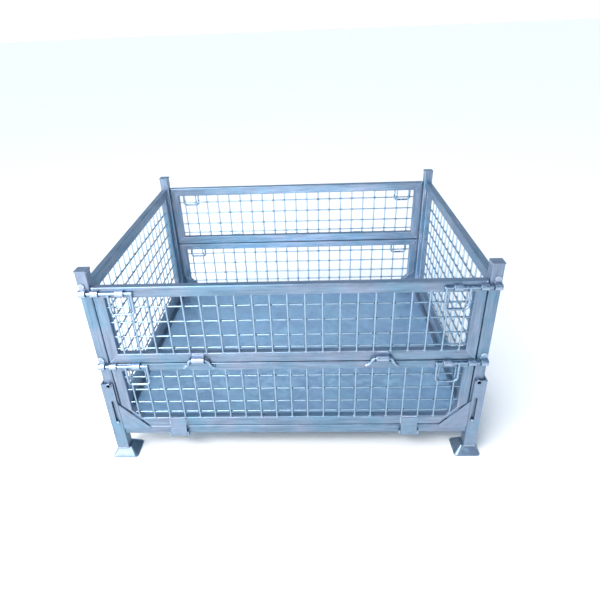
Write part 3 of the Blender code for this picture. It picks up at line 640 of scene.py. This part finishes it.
# ---- base ----
class CONTAINER_OT_base(bpy.types.Operator):
    """Base rails with cross rails, and the deck sheet"""

    bl_idname = "container.base"
    bl_label = "Base and deck"

    def execute(self, context):
        prepare()
        radius = context.scene.container_sizes.tube_radius
        rail, cross = 0.040, 0.050
        low, high = BASE_LOW.z, BASE_HIGH.z
        half_x, half_y = BASE_HIGH.x, BASE_HIGH.y
        shape = bmesh.new()
        for sy in (-1, 1):
            y0, y1 = sorted((sy * half_y, sy * (half_y - rail)))
            straight_tube(shape, (-half_x, y0, low), (half_x, y1, high), 0, radius)
        for sx in (-1, 1):
            x0, x1 = sorted((sx * half_x, sx * (half_x - rail)))
            straight_tube(shape, (x0, -half_y + rail, low), (x1, half_y - rail, high), 1, radius)
        bay = (2 * (half_x - rail) - 2 * cross) / 3
        seams = []
        for i in (1, 2):
            start = -(half_x - rail) + i * bay + (i - 1) * cross
            straight_tube(shape, (start, -half_y + rail, low), (start + cross, half_y - rail, high), 1,
                          radius)
            for sy in (-1, 1):
                seams.append([(start + 0.003, sy * (half_y - rail - 0.0008), low - 0.0002),
                              (start + cross - 0.003, sy * (half_y - rail - 0.0008), low - 0.0002)])
        place_piece(finish_solid("base_rails", shape, "tube"), "root", ["base_frame"])
        for sx in (-1, 1):
            for sy in (-1, 1):
                x = sx * (half_x - rail - 0.0008)
                seams.append([(x, sy * (half_y - rail), low + 0.004),
                              (x, sy * (half_y - rail), high - 0.003)])
        welds("base_rail_welds", seams, "root")

        # the sheet lies on the rails and sags a hair between them
        shape = bmesh.new()
        nx, ny = 66, 56
        rows = {}
        for level, z in (("top", DECK_HIGH.z), ("under", DECK_LOW.z)):
            grid = []
            for j in range(ny + 1):
                line = []
                for i in range(nx + 1):
                    x = DECK_LOW.x + (DECK_HIGH.x - DECK_LOW.x) * i / nx
                    y = DECK_LOW.y + (DECK_HIGH.y - DECK_LOW.y) * j / ny
                    edge = min(1.0, 12 * min(i / nx, 1 - i / nx, j / ny, 1 - j / ny))
                    wave = 0.5 + 0.5 * math.sin(9.0 * x + 1.3) * math.cos(11.0 * y - 0.6)
                    drop = 0.0004 * wave * edge if level == "top" else 0.0
                    line.append(shape.verts.new((x, y, z - drop)))
                grid.append(line)
            rows[level] = grid
            for j in range(ny):
                for i in range(nx):
                    shape.faces.new((grid[j][i], grid[j][i + 1], grid[j + 1][i + 1], grid[j + 1][i]))
        rims = []
        for level in ("top", "under"):
            grid = rows[level]
            rims.append(grid[0] + [line[-1] for line in grid[1:]] + grid[-1][-2::-1]
                        + [line[0] for line in grid[-2:0:-1]])
        for i in range(len(rims[0])):
            j = (i + 1) % len(rims[0])
            shape.faces.new((rims[0][i], rims[0][j], rims[1][j], rims[1][i]))
        place_piece(finish_solid("deck_plate", shape, "sheet"), "root", ["deck_sheet"])
        return {"FINISHED"}


# ---- legs ----
def foot_ring(side, corner, z, centre, steps=5):
    half = side / 2
    return [(centre[0] + u, centre[1] + v, z)
            for u, v in rounded_rectangle(-half, half, -half, half, corner, steps)]


class CONTAINER_OT_legs(bpy.types.Operator):
    """Corner legs with their pressed feet, gussets and welds"""

    bl_idname = "container.legs"
    bl_label = "Legs, feet and gussets"

    def execute(self, context):
        prepare()
        radius = context.scene.container_sizes.plate_radius
        for sx, side in ((-1, "left"), (1, "right")):
            for sy, end in ((-1, "front"), (1, "back")):
                corner = f"{end}_{side}"
                leg = finish_solid(f"leg_plate_{corner}", from_model(f"leg_{corner}", radius), "plate")
                place_piece(leg, "root", [f"leg_{corner}"])
                gusset = finish_solid(f"gusset_plate_{corner}", from_model(f"gusset_{corner}", 2.2 * radius),
                                      "plate")
                place_piece(gusset, "root", [f"gusset_{corner}"])
                self.foot(corner)
                self.seams(sx, sy, corner)
        return {"FINISHED"}

    def foot(self, corner):
        """Flared pyramid with a short upright rim, open underneath."""
        low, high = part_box(f"foot_{corner}")
        centre = ((low.x + high.x) / 2, (low.y + high.y) / 2)
        wide, tall, wall = high.x - low.x, high.z, 0.004
        top = 0.041
        rings = [foot_ring(wide - 0.001, 0.0115, 0.0, centre), foot_ring(wide, 0.012, 0.0008, centre),
                 foot_ring(wide, 0.012, 0.0034, centre), foot_ring(wide - 0.0016, 0.0115, 0.0050, centre)]
        for share in (0.3, 0.6, 0.85):
            hollow = 0.0012 * math.sin(math.pi * share)
            rings.append(foot_ring(wide + (top - wide) * share - hollow, 0.0115 - 0.0075 * share,
                                   0.0050 + (tall - 0.0062) * share, centre))
        rings += [foot_ring(top, 0.0042, tall - 0.0010, centre), foot_ring(top - 0.002, 0.0036, tall, centre)]
        shape = bmesh.new()
        inside = [foot_ring(top - 2 * wall, 0.003, tall - wall, centre),
                  foot_ring(wide - 2 * wall, 0.009, 0.0045, centre),
                  foot_ring(wide - 2 * wall, 0.009, 0.0, centre)]
        rows = [[shape.verts.new(p) for p in ring] for ring in rings + inside]
        count = len(rows[0])
        top_row = len(rings) - 1
        for index, (lower, upper) in enumerate(zip(rows, rows[1:] + rows[:1])):
            if index == top_row:
                continue
            for i in range(count):
                j = (i + 1) % count
                shape.faces.new((lower[i], lower[j], upper[j], upper[i]))
        shape.faces.new(rows[top_row])
        shape.faces.new(list(reversed(rows[top_row + 1])))
        foot = finish_solid(f"foot_pressing_{corner}", shape, "plate", 50.0)
        place_piece(foot, "root", [f"foot_{corner}"])

    def seams(self, sx, sy, corner):
        """Welds of the leg to the foot and the base, and of the gusset."""
        low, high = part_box(f"leg_{corner}")
        x_out, x_in = (high.x, low.x) if sx > 0 else (low.x, high.x)
        y_out, y_in = (high.y, low.y) if sy > 0 else (low.y, high.y)
        foot_top = low.z + 0.0004
        ring = [(x_out - sx * 0.002, y_out - sy * 0.0006, foot_top),
                (x_in + sx * 0.002, y_out - sy * 0.0006, foot_top)]
        flank = [(x_out - sx * 0.0006, y_out - sy * 0.002, foot_top),
                 (x_out - sx * 0.0006, y_in + sy * 0.002, foot_top)]
        glow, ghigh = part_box(f"gusset_{corner}")
        tip_x = glow.x if sx > 0 else ghigh.x
        root_x = ghigh.x if sx > 0 else glow.x
        face_y = (glow.y if sy < 0 else ghigh.y) - sy * 0.0042
        foot_z = glow.z
        paths = [ring, flank,
                 [(tip_x + sx * 0.006, face_y, foot_z - 0.0004),
                  (tip_x + sx * 0.036, face_y, foot_z - 0.0004)],
                 [(root_x - sx * 0.030, face_y, foot_z - 0.0004),
                  (root_x - sx * 0.004, face_y, foot_z - 0.0004)]]
        welds(f"leg_welds_{corner}", paths, "root", scale=0.9, seed=11 + sx + 2 * sy)


# ---- side walls ----
class CONTAINER_OT_walls(bpy.types.Operator):
    """Lifting side walls: posts, frames, meshes, keepers and slot pins"""

    bl_idname = "container.walls"
    bl_label = "Side walls"

    def execute(self, context):
        prepare()
        sizes = context.scene.container_sizes
        for sx, side in ((-1, "left"), (1, "right")):
            body = f"{side}_wall"
            self.frame_and_mesh(sx, side, body)
            for sy, end in ((-1, "front"), (1, "back")):
                self.post(sx, sy, f"{end}_{side}", body, sizes)
        return {"FINISHED"}

    def frame_and_mesh(self, sx, side, body):
        low, high = WALL_LOW.z, WALL_HIGH.z
        reach = WALL_HIGH.y
        window = reach - TUBE_FACE
        outer_x, inner_x = sx * WALL_HIGH.x, sx * (WALL_HIGH.x - TUBE_DEPTH)
        shape = bmesh.new()
        mitred_frame(shape, box_outline(reach, low, high),
                     box_outline(window, low + TUBE_FACE, high - TUBE_FACE), inner_x, outer_x, wall_stand)
        place_piece(finish_solid(f"{side}_wall_tubes", shape, "tube"), body,
                    [f"{side}_wall_frame"])

        top_row = high - 0.0482
        count = int((top_row - (low + TUBE_FACE) - 0.005) / PITCH)
        rows = [top_row - PITCH * i for i in range(count + 1)]
        half_count = int((window - 0.005) / PITCH - 0.5)
        columns = sorted(s * (i + 0.5) * PITCH for i in range(half_count + 1) for s in (-1, 1))
        up, across = mesh_paths(columns, rows, window, low + TUBE_FACE, high - TUBE_FACE, 0.0, 1.0,
                                sx * (WALL_HIGH.x - MESH_SETBACK), -sx)
        stand = Matrix(((0, 1, 0, 0), (1, 0, 0, 0), (0, 0, 1, 0), (0, 0, 0, 1)))
        welded_mesh(body, up, across, stand)
        ties = []
        for y in (-reach, reach):
            for z0 in (low + 0.03, (low + high) / 2 - 0.02, high - 0.065):
                ties.append([(inner_x + sx * 0.0005, y, z0), (inner_x + sx * 0.0005, y, z0 + 0.035)])
        welds(f"{side}_wall_welds", ties, body, scale=0.9, seed=5)

    def tab_outline(self, x, z):
        """Round-topped tab by which a keeper is welded to its post."""
        half, low, high = 0.0085, z + 0.006, z + 0.027
        return [(x - half, low)] + arc((x, high - half), half, 180, 0, 12) + [(x + half, low)]

    def post(self, sx, sy, corner, body, sizes):
        low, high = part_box(f"post_{corner}")
        x_out, x_in = sx * (POST_EDGE + POST), sx * POST_EDGE
        y_out, y_in = sy * POST_FACE, sy * (POST_FACE - POST)
        shape = bmesh.new()
        cap_low = high.z - 0.004
        straight_tube(shape, (min(x_out, x_in), min(y_out, y_in), low.z),
                      (max(x_out, x_in), max(y_out, y_in), cap_low), 2, sizes.tube_radius)
        loop = rounded_rectangle(min(x_out, x_in) - CAP_LIP, max(x_out, x_in) + CAP_LIP,
                                 min(y_out, y_in) - CAP_LIP, max(y_out, y_in) + CAP_LIP, 0.003)
        rounded_loft(shape, [[(x, y, z) for x, y in loop] for z in (cap_low - 0.0001, high.z)], 0.0009)
        middle = sx * (POST_EDGE + POST / 2)
        seat_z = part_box(f"leg_{corner}")[1].z - 0.011
        pin_z = seat_z + LOCK_PIN_RADIUS + GAP
        tip = sy * (POST_FACE + LEG_STANDOFF + 0.004)
        chamfered_pin(shape, (middle, sy * (POST_FACE - 0.001), pin_z), (middle, tip, pin_z), LOCK_PIN_RADIUS)
        head = sy * (POST_FACE + LEG_STANDOFF + 0.0004)
        chamfered_pin(shape, (middle, head, pin_z), (middle, tip, pin_z), 0.0088, 0.0012)
        place_piece(finish_solid(f"post_tube_{corner}", shape, "tube"), body,
                    [f"post_{corner}"])

        plow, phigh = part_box(f"slot_pin_{corner}")
        shape = bmesh.new()
        y0, y1 = (phigh.y, plow.y) if sy < 0 else (plow.y, phigh.y)
        x, z = (plow.x + phigh.x) / 2, (plow.z + phigh.z) / 2
        chamfered_pin(shape, (x, y0, z), (x, y1, z), 0.005)
        place_piece(finish_solid(f"slot_stud_{corner}", shape, "rod"), body,
                    [f"slot_pin_{corner}"])

        beads = []
        for level, z in (("upper", UPPER_BOLT_Z), ("lower", LOWER_BOLT_Z)):
            node = f"keeper_{level}_{corner}"
            klow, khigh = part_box(node)
            shape = bmesh.new()
            back = POST_FACE + GAP
            profile = guide_profile(z, back, back)
            folded_bar(shape, [(y if sy < 0 else -y, v) for y, v in profile], klow.x, khigh.x)
            tab = self.tab_outline((klow.x + khigh.x) / 2, z)
            rounded_loft(shape, [[(u, sy * y, v) for u, v in tab] for y in (back, back + 0.0035)],
                         sizes.plate_radius)
            beads.append([(u, sy * (back + 0.0012), v) for u, v in tab[1:-1]])
            plate = finish_solid(f"bolt_keeper_{level}_{corner}", shape, "fitting")
            place_piece(plate, body, [node])
            face = sy * (POST_FACE + 0.0006)
            for edge in (klow.z - 0.0004, khigh.z + 0.0004):
                beads.append([(klow.x + 0.002, face, edge), (khigh.x - 0.002, face, edge)])
        cap_seam = high.z - 0.0044
        beads.append([(x_in - sx * 0.0002, y_out - sy * 0.004, cap_seam),
                      (x_in - sx * 0.0002, y_in + sy * 0.004, cap_seam)])
        welds(f"post_welds_{corner}", beads, body, scale=0.95, seed=21 + sx + 2 * sy)


# ---- gates ----
def end_matrix(end):
    return TURN if end == "back" else Matrix.Identity(4)


def other_side(end, sx):
    """Name of the side that the front's sx side is on, once turned to that end."""
    return "left" if (sx < 0) != (end == "back") else "right"


class CONTAINER_OT_gates(bpy.types.Operator):
    """Half gates at front and back: frames, meshes, guides, straps and brackets"""

    bl_idname = "container.gates"
    bl_label = "Gates"

    def execute(self, context):
        prepare()
        for end in ("front", "back"):
            self.upper(end)
            self.lower(end)
        return {"FINISHED"}

    def guides(self, shape, z, low_back, top_back):
        for start, stop in GUIDE_SPANS:
            for sx in (-1, 1):
                folded_bar(shape, guide_profile(z, low_back, top_back), *sorted((sx * start, sx * stop)))

    def wires(self, end, level, columns, rows, half, low, high, corner=0.0, slope=1.0):
        plane = -(GATE_FACE - MESH_SETBACK)
        up, across = mesh_paths(columns, rows, half, low, high, corner, slope, plane, 1.0)
        stand = end_matrix(end)
        body = f"{end}_{level}_gate"
        welded_mesh(body, up, across, stand)
        welds(f"{end}_{level}_gate_wire_feet", foot_spots(up), body, stand, 0.8, 17)

    def guide_beads(self, z):
        beads = []
        half = BOLT_RADIUS + BOLT_CLEARANCE + GUIDE_PLATE
        for start, stop in GUIDE_SPANS:
            for sx in (-1, 1):
                beads.append([(sx * (start + 0.003), -GATE_FACE - 0.0004, z - half - 0.0004),
                              (sx * (stop - 0.003), -GATE_FACE - 0.0004, z - half - 0.0004)])
        return beads

    def corner_beads(self, outer, inner):
        """Dressed welds along the mitres, nearly flush with both faces."""
        beads = []
        for (ou, ov), (iu, iv) in zip(outer, inner):
            for depth in (-GATE_FACE + 0.0019, -GATE_BACK - 0.0019):
                beads.append([(ou + (iu - ou) * s, depth, ov + (iv - ov) * s) for s in (0.12, 0.9)])
        return beads

    def upper(self, end):
        body, stand = f"{end}_upper_gate", end_matrix(end)
        low, high = UPPER_BOTTOM_Z, UPPER_TOP_Z
        window = GATE_HALF - TUBE_FACE
        outer = box_outline(GATE_HALF - SIDE_RELIEF, low, high)
        inner = box_outline(window, low + TUBE_FACE, high - TUBE_FACE)
        shape = bmesh.new()
        mitred_frame(shape, outer, inner, -GATE_BACK, -GATE_FACE, frame_stand)
        shape.transform(stand)
        place_piece(finish_solid(f"{end}_upper_gate_tubes", shape, "tube"), body,
                    [f"{end}_upper_gate_frame"])
        shape = bmesh.new()
        self.guides(shape, UPPER_BOLT_Z, GATE_FACE - 0.001, GATE_FACE - 0.001)
        plate, bore = 0.004, 0.0056
        top = low + 0.0335
        for sx in (-1, 1):
            x0, x1 = sx * MID_HINGE_X - MID_BRACKET_WIDTH / 2, sx * MID_HINGE_X + MID_BRACKET_WIDTH / 2
            back, front = -(GATE_FACE - 0.001), -(GATE_FACE + plate)
            folded_bar(shape, [(back, top), (front, top), (front, MID_HINGE_Z + 0.004),
                               (back, MID_HINGE_Z + 0.004)], x0, x1)
            knuckle(shape, MID_HINGE_Y, MID_HINGE_Z, bore + plate, bore, x0, x1)
            folded_bar(shape, [(back, MID_HINGE_Z - 0.0035), (MID_HINGE_Y + 0.004, MID_HINGE_Z - 0.0056),
                               (MID_HINGE_Y + 0.004, MID_HINGE_Z - 0.0092),
                               (back, MID_HINGE_Z - 0.0075)], x0, x1)
        shape.transform(stand)
        place_piece(finish_solid(f"{end}_upper_gate_fittings", shape, "fitting"), body)
        rows = rows_between(high - 0.069, low + 0.0514)
        self.wires(end, "upper", centre_columns(window), rows, window, low + TUBE_FACE,
                   high - TUBE_FACE)
        beads = self.guide_beads(UPPER_BOLT_Z) + self.corner_beads(outer, inner)
        for sx in (-1, 1):
            x0, x1 = sx * MID_HINGE_X - MID_BRACKET_WIDTH / 2, sx * MID_HINGE_X + MID_BRACKET_WIDTH / 2
            beads.append([(x0 + 0.004, -GATE_FACE - 0.0006, top + 0.0006),
                          (x1 - 0.004, -GATE_FACE - 0.0006, top + 0.0006)])
        welds(f"{end}_upper_gate_welds", beads, body, stand, seed=31)

    def lower(self, end):
        body, stand = f"{end}_lower_gate", end_matrix(end)
        low, high = LOWER_BOTTOM_Z, LOWER_TOP_Z
        slope = 0.098 / 0.091
        along = math.hypot(slope, 1.0)
        edge_x = (POST_EDGE + POST + LEG_STANDOFF - 0.0385 - GAP) - GATE_HALF
        corner_x = 0.091 - edge_x + 0.0025 * along / slope - GATE_RUN / slope
        window, rail = GATE_HALF - TUBE_FACE, 0.028
        inner_x = corner_x + 0.008 * along / slope - TUBE_FACE - TUBE_FACE / slope

        def cut(half, bottom, top, corner):
            return [(-half, top), (-half, bottom + corner * slope), (-half + corner, bottom),
                    (half - corner, bottom), (half, bottom + corner * slope), (half, top)]

        outer = cut(GATE_HALF - SIDE_RELIEF, low, high, corner_x - SIDE_RELIEF)
        inner = cut(window, low + TUBE_FACE, high - rail, inner_x)
        shape = bmesh.new()
        mitred_frame(shape, outer, inner, -GATE_BACK, -GATE_FACE, frame_stand)
        shape.transform(stand)
        place_piece(finish_solid(f"{end}_lower_gate_tubes", shape, "tube"), body,
                    [f"{end}_lower_gate_frame"])
        shape = bmesh.new()
        self.guides(shape, LOWER_BOLT_Z, GATE_FACE - 0.001, GATE_FACE + GAP)
        shape.transform(stand)
        place_piece(finish_solid(f"{end}_lower_gate_guides", shape, "fitting"), body)
        shape = bmesh.new()
        top = low + 0.0325
        back, front = -(GATE_FACE - 0.0005), -(GATE_FACE + GAP + STRAP_PLATE)
        for sx in (-1, 1):
            x0, x1 = sx * STRAP_X - STRAP_WIDTH / 2, sx * STRAP_X + STRAP_WIDTH / 2
            lip = KNUCKLE_Y - 0.0077
            folded_bar(shape, [(back, low + 0.001), (back, top), (front, top), (front, KNUCKLE_Z + 0.036),
                               (lip, KNUCKLE_Z + 0.0045), (lip, KNUCKLE_Z - 0.0025),
                               (lip + 0.0016, KNUCKLE_Z - 0.006), (lip + 0.0033, KNUCKLE_Z - 0.004),
                               (lip + 0.0023, KNUCKLE_Z), (lip + 0.0033, KNUCKLE_Z + 0.004),
                               (KNUCKLE_Y, KNUCKLE_Z + 0.007), (-(GATE_FACE + GAP), KNUCKLE_Z + 0.008),
                               (-(GATE_FACE + GAP), low + 0.001)], x0, x1)
            knuckle(shape, KNUCKLE_Y, KNUCKLE_Z, 0.0075, 0.0046, x0, x1)
        shape.transform(stand)
        place_piece(finish_solid(f"{end}_lower_gate_straps", shape, "plate"), body)
        rows = rows_between(high - 0.0548, low + 0.056)
        self.wires(end, "lower", centre_columns(window), rows, window, low + TUBE_FACE, high - rail,
                   inner_x, slope)
        beads = self.guide_beads(LOWER_BOLT_Z) + self.corner_beads(outer, inner)
        for sx in (-1, 1):
            x0, x1 = sx * STRAP_X - STRAP_WIDTH / 2, sx * STRAP_X + STRAP_WIDTH / 2
            beads.append([(x0 + 0.003, -GATE_FACE - 0.001, top + 0.001),
                          (x1 - 0.003, -GATE_FACE - 0.001, top + 0.001)])
            for x in (x0 - 0.0006, x1 + 0.0006):
                beads.append([(x, -GATE_FACE - 0.001, low + 0.006), (x, -GATE_FACE - 0.001, top - 0.004)])
        welds(f"{end}_lower_gate_welds", beads, body, stand, seed=37)


# ---- bolts and hinge rods ----
class CONTAINER_OT_fittings(bpy.types.Operator):
    """Slide bolts, hinge rods and hinge pins"""

    bl_idname = "container.fittings"
    bl_label = "Bolts and hinges"

    def execute(self, context):
        prepare()
        for end in ("front", "back"):
            for sx in (-1, 1):
                side = other_side(end, sx)
                for level, z in (("upper", UPPER_BOLT_Z), ("lower", LOWER_BOLT_Z)):
                    self.bolt(end, level, side, sx, z)
                self.hinge_rod(end, side, sx)
                self.hinge_pin(end, side, sx)
        return {"FINISHED"}

    def bolt(self, end, level, side, sx, z):
        """Rod and U handle, bent from one bar."""
        inner, outer = HANDLE_SPAN
        low, bend = z - 0.068, 0.012
        start = inner - HANDLE_RADIUS - 0.001
        shape = bmesh.new()
        chamfered_pin(shape, (sx * start, BOLT_Y, z), (sx * (POST_EDGE + 0.0105), BOLT_Y, z), BOLT_RADIUS,
                      0.0012)
        shape.transform(end_matrix(end))
        rod = finish_solid(f"{end}_{level}_bolt_rod_{side}", shape, "rod")
        place_piece(rod, f"{end}_{level}_bolt_{side}", [f"{end}_{level}_bolt_{side}"])
        drawing = ([(inner, z - 0.001)] + arc((inner + bend, low + bend), bend, 180, 270, 8)
                   + arc((outer - bend, low + bend), bend, 270, 360, 8) + [(outer, z - 0.001)])
        handle = bars(f"{end}_{level}_bolt_handle_{side}", [[(sx * u, BOLT_Y, v) for u, v in drawing]],
                      HANDLE_RADIUS, "rod", 12, end_matrix(end))
        place_piece(handle, f"{end}_{level}_bolt_{side}")

    def hinge_rod(self, end, side, sx):
        x = sx * MID_HINGE_X
        straight = MID_BRACKET_WIDTH / 2 + 0.003
        rest = -(GATE_FACE + 0.005 + GAP)
        arm_z = LOWER_TOP_Z - 0.013
        half = [(straight - 0.004, MID_HINGE_Y, MID_HINGE_Z), (straight, MID_HINGE_Y, MID_HINGE_Z),
                (straight + 0.0045, MID_HINGE_Y + 0.0008, MID_HINGE_Z - 0.003),
                (straight + 0.009, MID_HINGE_Y + 0.0025, MID_HINGE_Z - 0.010),
                (straight + 0.015, rest, arm_z + 0.008), (0.049, rest, arm_z)]
        points = [(x - dx, y, z) for dx, y, z in reversed(half)] + [(x + dx, y, z) for dx, y, z in half]
        rod = bars(f"{end}_cranked_rod_{side}", [smooth_path(points, 4)], 0.005, "rod", 12, end_matrix(end))
        place_piece(rod, f"{end}_lower_gate", [f"{end}_hinge_rod_{side}"])
        beads = []
        for s in (-1, 1):
            beads.append([(x + s * 0.040, rest + 0.0042, arm_z + 0.0075),
                          (x + s * 0.048, rest + 0.0042, arm_z + 0.004)])
        welds(f"{end}_cranked_rod_welds_{side}", beads, f"{end}_lower_gate", end_matrix(end), 1.1, 43 + sx)

    def hinge_pin(self, end, side, sx):
        x = sx * STRAP_X
        reach = STRAP_WIDTH / 2 + 0.0006 + 0.005
        shape = bmesh.new()
        chamfered_pin(shape, (x - reach - 0.001, KNUCKLE_Y, KNUCKLE_Z),
                      (x + reach + 0.001, KNUCKLE_Y, KNUCKLE_Z), 0.004, 0.0006, 16)
        for s in (-1, 1):
            inner = x + s * (reach - 0.005)
            folded_bar(shape, [(-GATE_FACE - GAP, KNUCKLE_Z - 0.007), (-GATE_FACE - GAP, KNUCKLE_Z + 0.011),
                               (KNUCKLE_Y - 0.006, KNUCKLE_Z + 0.011),
                               (KNUCKLE_Y - 0.006, KNUCKLE_Z - 0.007)],
                       *sorted((inner, inner + s * 0.005)), radius=0.0008)
        shape.transform(end_matrix(end))
        place_piece(finish_solid(f"{end}_strap_pin_{side}", shape, "rod"), "root",
                    [f"{end}_hinge_pin_{side}"])


# ---- stage ----
def area_light(name, place, aim, size, power, colour):
    data = bpy.data.lights.new(name, "AREA")
    data.shape = "RECTANGLE"
    data.size, data.size_y = size
    data.energy = power
    data.color = linear(colour)[:3]
    lamp = bpy.data.objects.new(name, data)
    lamp.location = place
    lamp.rotation_euler = (Vector(aim) - Vector(place)).to_track_quat("-Z", "Y").to_euler()
    lamp.visible_camera = False
    bpy.context.scene.collection.objects.link(lamp)


class CONTAINER_OT_stage(bpy.types.Operator):
    """Plain pale floor, soft studio light and the camera"""

    bl_idname = "container.stage"
    bl_label = "Stage"

    def execute(self, context):
        scene = context.scene
        shape = bmesh.new()
        bmesh.ops.create_grid(shape, x_segments=1, y_segments=1, size=60.0)
        mesh = bpy.data.meshes.new("studio_floor")
        shape.to_mesh(mesh)
        shape.free()
        floor = link("studio_floor", mesh)
        paper = bpy.data.materials.new("white_studio_floor")
        paper.use_nodes = True
        surface = paper.node_tree.nodes["Principled BSDF"]
        surface.inputs["Base Color"].default_value = linear("#F8F5F2")
        surface.inputs["Roughness"].default_value = 0.9
        mesh.materials.append(paper)

        world = bpy.data.worlds.new("studio")
        scene.world = world
        world.use_nodes = True
        tree = world.node_tree
        # white at the horizon, blue and dimmer overhead, so that upward faces look deeper
        direction = add_node(tree, "ShaderNodeTexCoord").outputs["Generated"]
        height = add_node(tree, "ShaderNodeSeparateXYZ", links={0: direction}).outputs[2]
        sky = add_node(tree, "ShaderNodeValToRGB", links={0: height})
        sky.color_ramp.elements[0].position = 0.10
        sky.color_ramp.elements[0].color = linear("#FFFFFF")
        sky.color_ramp.elements[1].position = 0.32
        sky.color_ramp.elements[1].color = linear("#A9C0D4")
        overhead = sky.color_ramp.elements.new(0.9)
        overhead.color = linear("#7F9DBB")
        background = tree.nodes["Background"]
        background.inputs["Strength"].default_value = 1.0
        tree.links.new(sky.outputs[0], background.inputs["Color"])

        # a broad sun keeps the whole floor white; the softbox in front draws bright lines on rounded edges
        sun = bpy.data.lights.new("window", "SUN")
        sun.energy, sun.angle = 2.5, math.radians(60.0)
        lamp = bpy.data.objects.new("window", sun)
        lamp.rotation_euler = Vector((0.5, 0.35, -1.0)).to_track_quat("-Z", "Y").to_euler()
        scene.collection.objects.link(lamp)
        area_light("softbox", (-1.5, -2.6, 3.0), (-0.1, -0.4, 0.3), (2.0, 0.7), 100.0, "#FFFFFF")
        area_light("key", (-3.0, -1.1, 0.8), (0.3, -0.5, 0.2), (1.2, 1.2), 46.0, "#FFFFFF")
        area_light("front_panel", (-1.6, -3.4, 0.8), (0.0, 0.4, 0.4), (2.0, 0.8), 22.0, "#FFFFFF")
        # a white card inside, behind the front gate, that the back rails mirror
        area_light("card", (0.0, -0.40, 0.30), (0.0, 0.5, 0.55), (1.05, 0.25), 3.2, "#FFFFFF")

        scene.view_settings.view_transform = "Standard"
        lens = bpy.data.cameras.new("camera")
        lens.sensor_width = 36.0
        lens.lens = 30.934
        lens.shift_x, lens.shift_y = 0.01328, 0.0358
        camera = bpy.data.objects.new("camera", lens)
        right = Vector((0.998886, 0.03039, -0.036093))
        forward = Vector((-0.044535, 0.859933, -0.50846))
        up = right.cross(forward)
        camera.matrix_world = Matrix.Translation((0.079031, -1.800972, 1.290685)) @ Matrix(
            (right, up, -forward)).transposed().to_4x4()
        scene.collection.objects.link(camera)
        scene.camera = camera
        return {"FINISHED"}


class CONTAINER_PT_panel(bpy.types.Panel):
    """Sizes, colours and the steps that build the container"""

    bl_idname = "CONTAINER_PT_panel"
    bl_label = "Wire Mesh Container"
    bl_space_type = "VIEW_3D"
    bl_region_type = "UI"
    bl_category = "Container"

    def draw(self, context):
        layout = self.layout
        for settings in (context.scene.container_sizes, context.scene.container_colours):
            box = layout.box()
            for key in settings.bl_rna.properties.keys():
                if key not in {"rna_type", "name"}:
                    box.prop(settings, key)
        for step in STEPS:
            layout.operator(step.bl_idname)


STEPS = (CONTAINER_OT_stage, CONTAINER_OT_base, CONTAINER_OT_legs, CONTAINER_OT_walls,
         CONTAINER_OT_gates, CONTAINER_OT_fittings)
CLASSES = (ContainerSizes, ContainerColours, *STEPS, CONTAINER_PT_panel)


def register():
    for cls in CLASSES:
        bpy.utils.register_class(cls)
    bpy.types.Scene.container_sizes = bpy.props.PointerProperty(type=ContainerSizes)
    bpy.types.Scene.container_colours = bpy.props.PointerProperty(type=ContainerColours)


def unregister():
    del bpy.types.Scene.container_colours
    del bpy.types.Scene.container_sizes
    for cls in reversed(CLASSES):
        bpy.utils.unregister_class(cls)


def main():
    register()
    for step in (bpy.ops.container.stage, bpy.ops.container.base, bpy.ops.container.legs,
                 bpy.ops.container.walls, bpy.ops.container.gates, bpy.ops.container.fittings):
        step()


if __name__ == "__main__":
    main()
